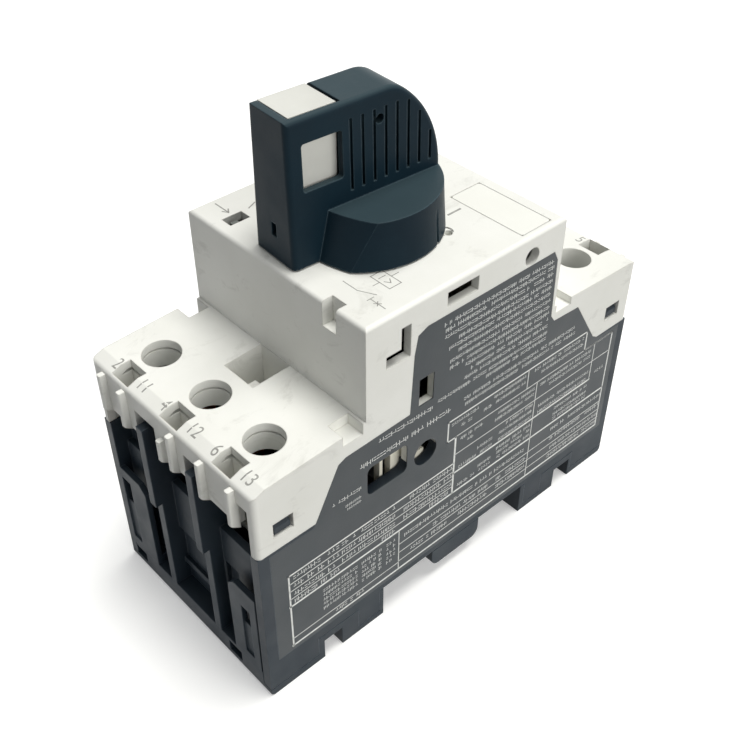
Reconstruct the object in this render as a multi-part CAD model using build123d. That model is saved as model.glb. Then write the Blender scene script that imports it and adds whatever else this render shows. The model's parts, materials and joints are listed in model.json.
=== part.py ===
from build123d import *
from math import cos, radians, sin
import os

# Three-pole motor protection circuit breaker, back on the rail plane, millimetres.
# +Z is the front of the device, +Y its line end, +X its right side. The origin is
# the middle of the footprint on the back plane.

# Overall sizes
WIDTH = 45.0
LENGTH = 93.0
FRONT_Z = 71.1
SEAM_Z = 37.2
BARRIER_END = 47.8

# Poles and terminals
POLE_PITCH = 14.2
BARRIER_T = 1.8
TERMINAL_Y = 37.5
HOLE_D = 7.0

# Front cover
COVER_WALL = 1.6
BLOCK_LOAD_Y = -23.7
BLOCK_LINE_Y = 22.1
SHOULDER_BREAK_Y = 44.0
SHOULDER_END_Z = 50.9
LOAD_SHOULDER_LOW_Z = 51.9
LOAD_SHOULDER_HIGH_Z = 52.75
LINE_SHOULDER_LOW_Z = 51.3
LINE_SHOULDER_HIGH_Z = 52.3
BLOCK_EDGE_R = 0.7
CORNER_R = 0.9
WELL_WALL = 0.8
WELL_BOTTOM_Z = 46.6
PROBE_X = 4.85
PROBE_Y = 3.8
PROBE_END_GAP = 0.5
PROBE_BOTTOM_Z = 43.4
PROBE_WALL = 0.9
APRON_Z = 42.2
GAP_TOP_Z = 47.4
GAP_W = 5.8
CORNER_GAP_IN = 17.9
CORNER_GAP_OUT = 20.8
RIB_W = 1.1
RIB_OUT = 1.3
RIB_TOP_Z = 50.2
RIB_BOTTOM_Z = 41.4
RIB_XS = (-18.7, -12.6, 1.7, 9.8, 17.6)
SHORT_RIB_X = -1.5
SHORT_RIB_TOP_Z = 47.0

# Notches in the shoulders
NOTCH_X0 = -4.2
NOTCH_X1 = 3.6
NOTCH_LENGTH = 7.9
NOTCH_FLOOR_Z = 44.5
NOTCH_LEDGE_Z = 50.2
CORNER_NOTCH_W = 3.6
CORNER_NOTCH_IN_Y = 0.6
CORNER_NOTCH_OUT_Y = 4.8
CORNER_NOTCH_Z = 49.2
CORNER_NOTCH_RIGHT_Z = 50.6

# Slots on the front and right faces
TEST_SLOT_X = -14.85
TEST_SLOT_Y = -19.3
TEST_SLOT_W = 2.5
TEST_SLOT_L = 4.05
PORT_X0 = 12.6
PORT_X1 = 15.8
PORT_FLOOR_Z = 66.4
PORT_IN = 2.2
RIGHT_SLOT_Y0 = -6.3
RIGHT_SLOT_Y1 = 0.75
RIGHT_SLOT_Z0 = 66.6
RIGHT_SLOT_Z1 = 69.4
RIGHT_HOLE_Y = 13.9
RIGHT_HOLE_Z = 66.9
RIGHT_HOLE_R = 1.7
L_SLOT_Y0 = -19.4
L_SLOT_Y1 = -14.2
L_SLOT_LEG_Y = -16.25
L_SLOT_Z0 = 61.1
L_SLOT_STEP_Z = 63.5
L_SLOT_Z1 = 67.5
LATCH_Y = 41.1
LATCH_L = 4.0
LATCH_Z0 = 40.1
LATCH_Z1 = 43.3
LATCH_CLEAR = 0.4
SMALL_DOT_X = 12.3
SMALL_DOT_Y = 3.9
SMALL_DOT_D = 1.5

# Marking plate on the front
PLATE_X0 = 4.6
PLATE_X1 = 21.2
PLATE_Y0 = 12.2
PLATE_Y1 = 19.5
PLATE_T = 0.4
PLATE_GAP = 0.08

# Base housing
BASE_WALL = 2.0
PANEL_Y = 43.9
PANEL_T = 1.4
ENTRY_Z = 31.4
TERMINAL_WALL_Y = 31.4
STEP_Z = 19.5
STEP_IN = 0.8
TONGUE_T = 1.1
TONGUE_FOOT_Z = 7.0
LEFT_TONGUE = (-21.9, -12.5, 26.0)
LEFT_TONGUE_WINDOW = (-20.4, -17.7, 17.3, 23.6)
RIGHT_TONGUE = (12.5, 20.0, 24.7)
RECESS_X0 = 8.4
RECESS_X1 = 12.2
RECESS_Z0 = 8.0
RECESS_Z1 = 23.0
RECESS_DEEP = 1.0
RIGHT_TONGUE_WINDOW = (15.8, 18.2, 15.2, 20.0)
TONGUE_CUT = 1.7
CHANNEL_DEEP = 0.4
BARRIER_TOP_Z = 46.0
PARTITION_T = 1.4
FLANGE_Z = 5.0
FLANGE_HOLE_XS = (-18.9, 12.1)
FLANGE_HOLE_W = 3.8
FLOOR_T = 1.4

# Rail base
PLATE_Z = 9.6
CHANNEL_Z = 7.6
CHANNEL_LOAD_Y = -19.4
CHANNEL_LINE_Y = 19.2
LOAD_FOOT_Y = -34.0
LOAD_NOTCH_Y = -29.7
LINE_NOTCH_Y = 30.1
LINE_FOOT_Y = 35.1
NOTCH_Z = 4.8
BOSS_HALF = 6.5
BOSS_Z = 3.0
BOSS_W = 6.0
HOOK_REACH = 2.7
HOOK_Z0 = 4.4
HOOK_Z1 = 6.3
HOOK_HALF_X = 17.0
SEAM_GAP = 0.2
SKIRT_Z = 1.9
SKIRT_STEP_Z = 6.7
SKIRT_LEG = 5.3
FOOT_CHAMFER = 0.6

# Rail latch
LATCH_BAR_HALF = 6.0
LATCH_BAR_Z0 = 2.0
RUN_GAP = 0.25
LATCH_SPRING_D = 2.6
LATCH_SPRING_Z = 4.2
LATCH_SPRING_REACH = 1.7
LATCH_BORE = 5.0

# Side label
LABEL_T = 0.15
LABEL_LOW_Z = 8.9
LABEL_CORNER_R = 1.2

# Rotary handle, drawn along Y about its own axis and then turned
KNOB_Y = -5.3
HANDLE_TURN = -3.5
KNOB_R = 14.8
KNOB_TOP_R = 14.2
KNOB_Z0 = 71.4
KNOB_TOP_Z = 79.8
GRIP_END = 16.6
GRIP_FAR = 13.6
GRIP_HALF_TOP = 4.7
GRIP_DRAFT = 1.5
GRIP_TOP_Z = 96.4
GRIP_ARC_R = 19.0
GRIP_ARC_Z = 80.0
GRIP_BROW_R = 6.0
GRIP_EDGE_R = 0.9
GRIP_WALL = 1.2
WINDOW_Y0 = -13.9
WINDOW_Y1 = -6.35
WINDOW_Z0 = 84.35
WINDOW_Z1 = 92.3
TOP_CUT_Y0 = -15.3
TOP_CUT_Y1 = -5.8
TOP_CUT_DEEP = 1.9
GROOVE_COUNT = 8
GROOVE_FIRST = -4.7
GROOVE_PITCH = 2.27
GROOVE_W = 0.55
GROOVE_DEEP = 0.45
GROOVE_Z0 = 81.6
GROOVE_TOP_Z = 93.6
GROOVE_EDGE = 1.1
PIN_HOLE_Y = 0.9
PIN_HOLE_Z = 91.8
PIN_HOLE_D = 1.6
END_SLOT_X0 = -0.4
END_SLOT_X1 = 0.9
END_SLOT_Z0 = 75.5
END_SLOT_Z1 = 77.9
END_SLOT_DEEP = 0.9
INDEX_TURN = 25
INDEX_W = 0.8
INDEX_DEEP = 0.5
SCOOP_LOW_X = 11.0
SCOOP_LOW_Y = -9.9
SCOOP_LOW_MID_Y = -12.3
SCOOP_TOP_X = 12.9
SCOOP_TOP_Y = -5.95
SCOOP_TOP_MID_Y = -10.2
HUB_D = 9.0
HUB_TOP_Z = 78.0

# Lock slide in the handle
SLIDE_HALF_X = 3.2
SLIDE_GAP = 0.4
SLIDE_Z0 = 73.4
SLIDE_HOLE_D = 5.6
SLIDE_TRAVEL = 8.0

# Shaft and mechanism
SHAFT_D = 8.66
SHAFT_HOLE_D = 8.8
SQUARE = 5.0
CAM_D = 12.0
CAM_Z0 = 53.0
CAM_T = 2.0
PLATE_X = 6.5
MECH_T = 1.0
MECH_Z0 = 48.0
MECH_Z1 = 62.0
MECH_LOAD_Y = -20.0
MECH_LINE_Y = 18.0
PIN_D = 3.0
PIN_CLEAR = 0.05
ROCKER_Y = 4.5
ROCKER_Z = 50.5
ROCKER_HALF_X = 3.0
ROCKER_TIP_Y = 14.5
ROCKER_TAIL_Y = -12.6
ROCKER_T = 2.0
LATCH_PIVOT_Y = -17.4
LATCH_PIVOT_Z = 50.0
LATCH_ARM_Z = 38.8

# Contacts
CARRIER_Y = 14.0
CARRIER_HALF_Y = 2.5
CARRIER_HALF_X = 18.2
CARRIER_Z0 = 40.0
CARRIER_Z1 = 44.0
STIRRUP_Z = 48.6
CONTACT_SPAN = 14.0
CONTACT_Z = 24.4
CONTACT_D = 4.0
TIP_T = 0.75
BRIDGE_T = 1.2
BRIDGE_W = 5.2
BAR_T = 1.2
BAR_W = 6.4
BAR_Z = 37.2
BAR_LOW_Z = 11.0

# Terminal screws and clamps
HEAD_D = 5.8
HEAD_Z0 = 43.8
HEAD_Z1 = 46.0
SCREW_D = 3.9
CLAMP_W = 9.0
CLAMP_L = 6.6
CLAMP_T = 1.0
CLAMP_Z0 = 31.2
CLAMP_Z1 = 41.0
CLAMP_GAP = 0.1

# Releases
COIL_Y = -10.0
COIL_D = 10.4
BOBBIN_D = 5.3
COIL_Z0 = 17.0
COIL_Z1 = 29.0
PLUNGER_D = 4.0
PLUNGER_TOP_Z = 37.0
BIMETAL_Y = -22.2
BIMETAL_T = 0.8
BIMETAL_W = 5.0
BIMETAL_TOP_Z = 40.5
TRIP_Y0 = -20.4
TRIP_Y1 = -18.6
TRIP_Z0 = 37.5
TRIP_Z1 = 41.5
TRIP_HALF_X = 17.9
TRIP_LINK_Y1 = -9.2
TRIP_LINK_Z1 = 55.4
SWITCH_LINK_X = 18.8
LINK_T = 1.6
LINK_GAP = 0.5
LINK_LOAD_Y = -16.1
LINK_LINE_Y = -10.9
LINK_TOP_Z = 42.2
LINK_FOOT_Y = -8.0
LINK_FOOT_Z0 = 32.0
LINK_FOOT_Z1 = 35.3
LINK_PRONG_Y = -18.6
LINK_PRONG_W = 0.7

# Setting dial
DIAL_X = -14.5
DIAL_Y = 13.0
DIAL_D = 9.0
DIAL_TOP_Z = 70.7

HALF_W = WIDTH / 2
HALF_L = LENGTH / 2
POLES = (-POLE_PITCH, 0.0, POLE_PITCH)
BARRIER_XS = (-POLE_PITCH / 2, POLE_PITCH / 2)
ENDS = (-1, 1)


def box(x0, x1, y0, y1, z0, z1):
    """A block between two corners, in any order."""
    size = Box(abs(x1 - x0), abs(y1 - y0), abs(z1 - z0))
    return Pos((x0 + x1) / 2, (y0 + y1) / 2, (z0 + z1) / 2) * size


def rod_z(x, y, z0, z1, d):
    return Pos(x, y, (z0 + z1) / 2) * Cylinder(d / 2, z1 - z0)


def rod_x(x0, x1, y, z, d):
    return Pos((x0 + x1) / 2, y, z) * Rot(0, 90, 0) * Cylinder(d / 2, x1 - x0)


def rod_y(x, y0, y1, z, d):
    return Pos(x, (y0 + y1) / 2, z) * Rot(90, 0, 0) * Cylinder(d / 2, y1 - y0)


def prism_yz(points, x0, x1):
    """An outline of (y, z) points, extruded from x0 to x1."""
    face = make_face(Polyline([(0, y, z) for y, z in points], close=True))
    return Pos(x0, 0, 0) * extrude(face, amount=x1 - x0, dir=(1, 0, 0))


def save(name, shape):
    export_step(shape, f"parts/{name}.step")


# Front cover: outer shape, hollowed, then its openings

def shoulder_outline(inset):
    """The stepped side outline, moved inwards by inset."""
    low_z = SEAM_Z - 1.0 if inset else SEAM_Z
    return [
        (-HALF_L + inset, low_z),
        (-HALF_L + inset, SHOULDER_END_Z - inset),
        (-SHOULDER_BREAK_Y + inset / 2, LOAD_SHOULDER_LOW_Z - inset),
        (BLOCK_LOAD_Y + inset, LOAD_SHOULDER_HIGH_Z - inset),
        (BLOCK_LOAD_Y + inset, FRONT_Z - inset),
        (BLOCK_LINE_Y - inset, FRONT_Z - inset),
        (BLOCK_LINE_Y - inset, LINE_SHOULDER_HIGH_Z - inset),
        (SHOULDER_BREAK_Y - inset / 2, LINE_SHOULDER_LOW_Z - inset),
        (HALF_L - inset, SHOULDER_END_Z - inset),
        (HALF_L - inset, low_z),
    ]


def edge_near(edges, y=None, z=None, x=None, reach=0.2):
    """The edges whose middle lies at the given places."""
    found = []
    for edge in edges:
        c = edge.center()
        near_x = x is None or abs(abs(c.X) - x) < reach
        near_y = y is None or abs(c.Y - y) < reach
        near_z = z is None or abs(c.Z - z) < reach
        if near_x and near_y and near_z:
            found.append(edge)
    return found


def cover_shell():
    outer = prism_yz(shoulder_outline(0), -HALF_W, HALF_W)
    top_edges = edge_near(outer.edges(), z=FRONT_Z)
    outer = fillet(top_edges, BLOCK_EDGE_R)
    posts = []
    for side in ENDS:
        posts += edge_near(outer.edges().filter_by(Axis.Z), x=HALF_W, y=side * HALF_L)
        posts += edge_near(outer.edges(), x=0, y=side * HALF_L, z=SHOULDER_END_Z)
    outer = fillet(posts, CORNER_R)
    inner_half = HALF_W - COVER_WALL
    return outer - prism_yz(shoulder_outline(COVER_WALL), -inner_half, inner_half)


def apron_cut(side):
    """What is taken out of an end wall above the wire entries."""
    y0 = side * (HALF_L - COVER_WALL - 0.1)
    y1 = side * (HALF_L + 1.0)
    low = SEAM_Z - 1.0
    cut = box(-CORNER_GAP_OUT, CORNER_GAP_OUT, y0, y1, low, APRON_Z)
    for x in BARRIER_XS:
        cut += box(x - GAP_W / 2, x + GAP_W / 2, y0, y1, low, GAP_TOP_Z)
    cut += box(CORNER_GAP_IN, CORNER_GAP_OUT, y0, y1, low, GAP_TOP_Z)
    return cut


def apron_rib(x, side, top_z):
    """One upright rib on an end wall, its foot sloped back to the wall."""
    y_wall = side * (HALF_L - 0.5)
    y_out = side * (HALF_L + RIB_OUT)
    outline = [
        (y_wall, RIB_BOTTOM_Z), (y_out, RIB_BOTTOM_Z + RIB_OUT),
        (y_out, top_z), (y_wall, top_z),
    ]
    rib = prism_yz(outline, x - RIB_W / 2, x + RIB_W / 2)
    uprights = edge_near(rib.edges().filter_by(Axis.Z), y=y_out)
    return fillet(uprights, RIB_W * 0.3)


def notch(side):
    """The deep middle notch beside the block, and the two at the corners."""
    wall_y = BLOCK_LINE_Y if side > 0 else BLOCK_LOAD_Y
    far_y = wall_y + side * NOTCH_LENGTH
    well_wall = 1.0
    top = LOAD_SHOULDER_HIGH_Z + 0.5
    pocket = box(NOTCH_X0 - well_wall, NOTCH_X1 + well_wall, wall_y - side * 1.6,
                 far_y + side * well_wall, NOTCH_FLOOR_Z - well_wall, LINE_SHOULDER_HIGH_Z - COVER_WALL / 2)
    hole = box(NOTCH_X0, NOTCH_X1, wall_y + side * 0.1, far_y, NOTCH_FLOOR_Z, top)
    ledge = box(0.2, NOTCH_X1, far_y, far_y - side * 3.0, NOTCH_FLOOR_Z, NOTCH_LEDGE_Z)
    ledge += box(NOTCH_X1 - 1.6, NOTCH_X1, far_y, far_y - side * 5.0, NOTCH_FLOOR_Z, NOTCH_LEDGE_Z)
    corners = Part()
    near = wall_y + side * CORNER_NOTCH_IN_Y
    far = wall_y + side * CORNER_NOTCH_OUT_Y
    for x in (-1, 1):
        inner = x * (HALF_W - CORNER_NOTCH_W)
        low = CORNER_NOTCH_RIGHT_Z if x > 0 else CORNER_NOTCH_Z
        corners += box(inner, x * (HALF_W + 1), near, far, low, top)
    backing = box(-HALF_W + 0.5, HALF_W - 0.5, near - side * 1.0, far + side * 1.0,
                  CORNER_NOTCH_Z - 1.2, LOAD_SHOULDER_HIGH_Z - 1.2)
    middle = HALF_W - CORNER_NOTCH_W - 1.0
    backing -= box(-middle, middle, near - side * 2, far + side * 2, CORNER_NOTCH_Z - 2, top)
    return pocket + backing, hole - ledge, corners


def terminal_holes(side):
    """Screw wells and probe openings of one end: what is added, what is cut."""
    added = Part()
    cut = Part()
    top = LOAD_SHOULDER_HIGH_Z + 1
    shelf = LINE_SHOULDER_LOW_Z - 1.0
    for x in POLES:
        y = side * TERMINAL_Y
        added += rod_z(x, y, WELL_BOTTOM_Z, shelf, HOLE_D + 2 * WELL_WALL)
        cut += rod_z(x, y, WELL_BOTTOM_Z - 0.1, top, HOLE_D)
        y_out = side * (HALF_L - PROBE_END_GAP)
        y_in = side * (HALF_L - PROBE_END_GAP - PROBE_Y)
        half = PROBE_X / 2
        added += box(x - half - PROBE_WALL, x + half + PROBE_WALL, y_in - side * PROBE_WALL,
                     side * (HALF_L - 0.3), PROBE_BOTTOM_Z, shelf - 0.6)
        cut += box(x - half, x + half, y_in, y_out, PROBE_BOTTOM_Z - 0.1, top)
    return added, cut


def side_slots():
    """The openings in the right wall, seen beside and above the label."""
    x0 = HALF_W - COVER_WALL - 0.1
    x1 = HALF_W + 1
    cut = box(x0, x1, RIGHT_SLOT_Y0, RIGHT_SLOT_Y1, RIGHT_SLOT_Z0, RIGHT_SLOT_Z1)
    cut += rod_x(x0, x1, RIGHT_HOLE_Y, RIGHT_HOLE_Z, 2 * RIGHT_HOLE_R)
    cut += box(x0, x1, L_SLOT_LEG_Y, L_SLOT_Y1, L_SLOT_Z0, L_SLOT_Z1)
    cut += box(x0, x1, L_SLOT_Y0, L_SLOT_Y1, L_SLOT_Z0, L_SLOT_STEP_Z)
    return cut


def latch_windows():
    cut = Part()
    for side in ENDS:
        y = side * LATCH_Y
        for x in ENDS:
            cut += box(x * (HALF_W - COVER_WALL - 0.1), x * (HALF_W + 1),
                       y - LATCH_L / 2, y + LATCH_L / 2, LATCH_Z0, LATCH_Z1)
    return cut


def front_openings():
    """Shaft hole, dial hole, test slot, accessory port and the marking recess."""
    low = FRONT_Z - COVER_WALL - 0.1
    high = FRONT_Z + 1
    cut = rod_z(0, KNOB_Y, low, high, SHAFT_HOLE_D)
    cut += rod_z(DIAL_X, DIAL_Y, low, high, DIAL_D + 0.3)
    cut += box(TEST_SLOT_X - TEST_SLOT_W / 2, TEST_SLOT_X + TEST_SLOT_W / 2,
               TEST_SLOT_Y - TEST_SLOT_L / 2, TEST_SLOT_Y + TEST_SLOT_L / 2, low, high)
    cut += box(PORT_X0, PORT_X1, BLOCK_LOAD_Y - 1, BLOCK_LOAD_Y + PORT_IN, PORT_FLOOR_Z, high)
    cut += box(PLATE_X0, PLATE_X1, PLATE_Y0, PLATE_Y1, FRONT_Z - PLATE_T, high)
    cut += rod_z(SMALL_DOT_X, SMALL_DOT_Y, FRONT_Z - 1.0, high, SMALL_DOT_D)
    return cut


def label_outline():
    """The label's outline on the right side, as (y, z) points."""
    return [
        (-44.2, LABEL_LOW_Z), (44.5, LABEL_LOW_Z), (44.5, 36.7), (37.9, 36.9), (36.1, 38.0),
        (29.5, 48.5), (22.6, 48.9), (21.5, 50.5), (21.1, 63.0), (20.0, 65.1),
        (-10.5, 65.1), (-12.6, 64.2), (-13.3, 60.5), (-13.9, 48.3), (-28.0, 47.9),
        (-29.6, 47.2), (-34.6, 37.4), (-35.2, 36.4), (-44.2, 36.4),
    ]


def label_solid(x0, x1):
    return prism_yz(label_outline(), x0, x1)


def label_windows(x0, x1, grow):
    """The windows that go through the label and the wall behind it."""
    cut = box(x0, x1, -11.9 - grow, -8.5 + grow, 48.8 - grow, 54.6 + grow)
    cut += rod_x(x0, x1, -9.8, 36.9, 5.4 + 2 * grow)
    rounded = box(x0, x1, -23.4 - grow, -14.25 + grow, 35.5 - grow, 41.9 + grow)
    cut += fillet(rounded.edges().filter_by(Axis.X), LABEL_CORNER_R)
    return cut


def whole_cover():
    shell = cover_shell()
    keep = prism_yz(shoulder_outline(0.3), -HALF_W + 0.3, HALF_W - 0.3)
    port_wall = 1.0
    port = box(PORT_X0 - port_wall, PORT_X1 + port_wall, BLOCK_LOAD_Y + 0.5,
               BLOCK_LOAD_Y + PORT_IN + port_wall, PORT_FLOOR_Z - port_wall, FRONT_Z - 0.5)
    shell += port
    cuts = front_openings() + side_slots() + latch_windows()
    for side in ENDS:
        shell -= apron_cut(side)
        pocket, hole, corners = notch(side)
        added, cut = terminal_holes(side)
        shell += (pocket + added) & keep
        cuts += hole + corners + cut
        for x in RIB_XS:
            shell += apron_rib(-side * x, side, RIB_TOP_Z - 0.3 * (side > 0))
        shell += apron_rib(-side * SHORT_RIB_X, side, SHORT_RIB_TOP_Z)
    shell -= cuts
    shell -= label_solid(HALF_W - LABEL_T, HALF_W + 1)
    shell -= label_windows(HALF_W - COVER_WALL - 0.1, HALF_W + 1, 0.1)
    return shell


def cover_pieces():
    """The cover's raised block, and its load and line shoulders, flush with the block's walls."""
    whole = whole_cover()
    block = whole & box(-HALF_W, HALF_W, BLOCK_LOAD_Y, BLOCK_LINE_Y, 0, FRONT_Z)
    load = whole & box(-HALF_W, HALF_W, -HALF_L - RIB_OUT, BLOCK_LOAD_Y, 0, FRONT_Z)
    line = whole & box(-HALF_W, HALF_W, BLOCK_LINE_Y, HALF_L + RIB_OUT, 0, FRONT_Z)
    return block, load, line


# Base housing: side walls, partitions, fronts of the poles, cover latches

def skirt_outline():
    """The side wall's outline, with the legs that reach down beside the feet."""
    load_leg = CHANNEL_LOAD_Y - 0.9
    line_leg = CHANNEL_LINE_Y + 1.3
    return [
        (-HALF_L, SKIRT_Z), (LOAD_FOOT_Y - 1.3, SKIRT_Z), (LOAD_FOOT_Y - 1.3, SKIRT_STEP_Z),
        (load_leg - SKIRT_LEG, SKIRT_STEP_Z), (load_leg - SKIRT_LEG, SKIRT_Z - 0.3),
        (load_leg, SKIRT_Z - 0.3), (load_leg, CHANNEL_Z), (line_leg, CHANNEL_Z),
        (line_leg, SKIRT_Z - 0.3), (line_leg + SKIRT_LEG, SKIRT_Z - 0.3),
        (line_leg + SKIRT_LEG, SKIRT_STEP_Z), (LINE_FOOT_Y + 0.7, SKIRT_STEP_Z),
        (LINE_FOOT_Y + 0.7, SKIRT_Z), (HALF_L, SKIRT_Z), (HALF_L, SEAM_Z), (-HALF_L, SEAM_Z),
    ]


def pole_front(side):
    """The recessed wall across the poles at one end, under the wire entries."""
    y_out = side * PANEL_Y
    y_in = side * (PANEL_Y - PANEL_T)
    inner = HALF_W - BASE_WALL
    wall = box(-inner, inner, y_in, y_out, FLANGE_Z, ENTRY_Z)
    half = BARRIER_XS[1] - BARRIER_T / 2
    wall -= box(-half, half, y_out, y_out - side * STEP_IN, FLANGE_Z, STEP_Z)
    y_deep = y_out - side * RECESS_DEEP
    return wall - box(-side * RECESS_X0, -side * RECESS_X1, y_out, y_deep, RECESS_Z0, RECESS_Z1)


def tongue(side, across, window):
    """A clip tongue in front of an outer pole, with its window and channel."""
    x0, x1, top_z = across
    y0 = side * (HALF_L - TONGUE_T)
    y1 = side * HALF_L
    flip = -side
    plate = box(flip * x0, flip * x1, y0, y1, FLANGE_Z, top_z)
    inner_x = min(abs(x0), abs(x1))
    corner = edge_near(plate.edges().filter_by(Axis.Y), x=inner_x, z=top_z)
    plate = chamfer(corner, TONGUE_CUT)
    plate += box(flip * x0, flip * x1, side * (PANEL_Y - 0.1), y1, FLANGE_Z, TONGUE_FOOT_Z)
    wx0, wx1, wz0, wz1 = window
    plate -= box(flip * wx0, flip * wx1, y0 - side, y1 + side, wz0, wz1)
    return plate - box(flip * wx0, flip * wx1, y1 - side * CHANNEL_DEEP, y1 + side, TONGUE_FOOT_Z, wz0)


def cover_latch(side, sign):
    """A latch arm inside the cover's wall, with a sloped nose in the window."""
    y = side * LATCH_Y
    half = LATCH_L / 2 - LATCH_CLEAR
    inner = HALF_W - BASE_WALL - 1.3
    face = HALF_W - COVER_WALL - 0.15
    arm = box(sign * inner, sign * face, y - half, y + half, SEAM_Z - 6, LATCH_Z1)
    nose = box(sign * (face - 0.1), sign * (HALF_W - 0.3), y - half, y + half,
               LATCH_Z0 + LATCH_CLEAR, LATCH_Z1 - LATCH_CLEAR)
    slope = edge_near(nose.edges().filter_by(Axis.Y), x=HALF_W - 0.3, z=LATCH_Z1 - LATCH_CLEAR)
    return arm + chamfer(slope, 1.2)


def base_housing():
    inner = HALF_W - BASE_WALL
    shell = prism_yz(skirt_outline(), inner, HALF_W) + prism_yz(skirt_outline(), -HALF_W, -inner)
    shell += box(-inner, inner, -PANEL_Y, PANEL_Y, PLATE_Z, PLATE_Z + FLOOR_T)
    for side in ENDS:
        shell += pole_front(side)
        shell += tongue(side, LEFT_TONGUE, LEFT_TONGUE_WINDOW)
        shell += tongue(side, RIGHT_TONGUE, RIGHT_TONGUE_WINDOW)
        for sign in ENDS:
            shell += cover_latch(side, sign)
        for x in BARRIER_XS:
            half = BARRIER_T / 2
            shell += box(x - half, x + half, side * (PANEL_Y - 0.5), side * HALF_L, FLANGE_Z, BARRIER_TOP_Z)
            shell += box(x - half, x + half, side * (PANEL_Y - 4), side * BARRIER_END, ENTRY_Z - 4,
                         BARRIER_TOP_Z)
        wall_y = side * TERMINAL_WALL_Y
        shell += box(-inner, inner, wall_y, wall_y + side * PARTITION_T, PLATE_Z, SEAM_Z)
    for x in BARRIER_XS:
        half = PARTITION_T / 2
        shell += box(x - half, x + half, -PANEL_Y, PANEL_Y, PLATE_Z, SEAM_Z)
    for side in ENDS:
        shell -= notch_room(side)
    shell -= label_solid(HALF_W - LABEL_T, HALF_W + 1)
    shell -= label_windows(inner - 0.1, HALF_W + 1, 0.1)
    return shell


def notch_room(side):
    """Room under the cover's middle notch, so that nothing meets it."""
    wall_y = BLOCK_LINE_Y if side > 0 else BLOCK_LOAD_Y
    return box(NOTCH_X0 - 1.5, NOTCH_X1 + 1.5, wall_y, wall_y + side * 10, NOTCH_FLOOR_Z - 1.5, 60)


# Rail base: plate, feet, channel for the rail, hook and latch guide

def frame_outline():
    return [
        (-HALF_L, 0), (LOAD_FOOT_Y, 0), (LOAD_FOOT_Y, NOTCH_Z), (LOAD_NOTCH_Y, NOTCH_Z),
        (LOAD_NOTCH_Y, 0), (CHANNEL_LOAD_Y, 0), (CHANNEL_LOAD_Y, CHANNEL_Z),
        (CHANNEL_LINE_Y, CHANNEL_Z), (CHANNEL_LINE_Y, 0), (LINE_NOTCH_Y, 0),
        (LINE_NOTCH_Y, NOTCH_Z), (LINE_FOOT_Y, NOTCH_Z), (LINE_FOOT_Y, 0), (HALF_L, 0),
        (HALF_L, PLATE_Z), (-HALF_L, PLATE_Z),
    ]


def rail_base():
    plate = prism_yz(frame_outline(), -HALF_W, HALF_W)
    foot_edges = edge_near(plate.edges().filter_by(Axis.X), z=0)
    ends = [e for e in foot_edges if abs(abs(e.center().Y) - HALF_L) < 0.1]
    plate = chamfer(ends, FOOT_CHAMFER)
    for sign in ENDS:
        inner = sign * (HALF_W - BASE_WALL - SEAM_GAP)
        outer = sign * (HALF_W + 1)
        plate -= Pos(0, 0, -SEAM_GAP) * prism_yz(skirt_outline(), min(inner, outer), max(inner, outer))
    for sign in ENDS:
        x0 = sign * (HALF_W - BOSS_W)
        x1 = sign * HALF_W
        boss = box(x0, x1, -BOSS_HALF, BOSS_HALF, BOSS_Z, CHANNEL_Z + 0.5)
        low = [e for e in boss.edges().filter_by(Axis.X) if e.center().Z < BOSS_Z + 0.1]
        boss = fillet(low, 2.0)
        top = CHANNEL_Z - SEAM_GAP
        boss -= box(sign * (HALF_W - BASE_WALL - SEAM_GAP), sign * (HALF_W + 1), -10, 10, top, 20)
        plate += boss
    plate += box(-HOOK_HALF_X, HOOK_HALF_X, CHANNEL_LINE_Y - HOOK_REACH, CHANNEL_LINE_Y + 1,
                 HOOK_Z0, HOOK_Z1)
    room = LATCH_BAR_HALF + RUN_GAP
    y_in = CHANNEL_LOAD_Y + 1
    plate -= box(-room, room, LOAD_FOOT_Y + 0.1, y_in, LATCH_BAR_Z0 - RUN_GAP, HOOK_Z1 + RUN_GAP)
    plate -= box(-room, room, LOAD_FOOT_Y + 0.1, LOAD_NOTCH_Y, -1, HOOK_Z1 + RUN_GAP)
    bore = LATCH_SPRING_D + 2 * RUN_GAP
    plate -= rod_y(0, LOAD_FOOT_Y - 7, LOAD_FOOT_Y + 1, LATCH_SPRING_Z, bore)
    for side in ENDS:
        plate -= box(-HALF_W, HALF_W, side * (PANEL_Y - PANEL_T - 0.1), side * 50, FLANGE_Z, 20)
        for x in FLANGE_HOLE_XS:
            half = FLANGE_HOLE_W / 2
            plate -= box(-side * x - half, -side * x + half, side * (HALF_L - 3), side * 50, 1.6, 4.2)
    return plate


def rail_latch():
    """The sprung latch: a bar with a sloped nose under the rail and a pull tab."""
    nose_y = CHANNEL_LOAD_Y + HOOK_REACH
    bar = box(-LATCH_BAR_HALF, LATCH_BAR_HALF, LOAD_NOTCH_Y - 1.0, nose_y, LATCH_BAR_Z0, HOOK_Z1)
    lip = [e for e in bar.edges().filter_by(Axis.X)
           if e.center().Y > nose_y - 0.1 and e.center().Z < LATCH_BAR_Z0 + 0.1]
    bar = chamfer(lip, 1.8)
    bore_y = LOAD_NOTCH_Y - 1.0
    bar -= rod_y(0, bore_y - 1, bore_y + LATCH_BORE, LATCH_SPRING_Z, LATCH_SPRING_D + 2 * RUN_GAP)
    tab = box(-LATCH_BAR_HALF + 1, LATCH_BAR_HALF - 1, LOAD_NOTCH_Y - 1.0, LOAD_NOTCH_Y - 0.1,
              0.5, LATCH_BAR_Z0 + 0.1)
    return bar + tab


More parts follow.
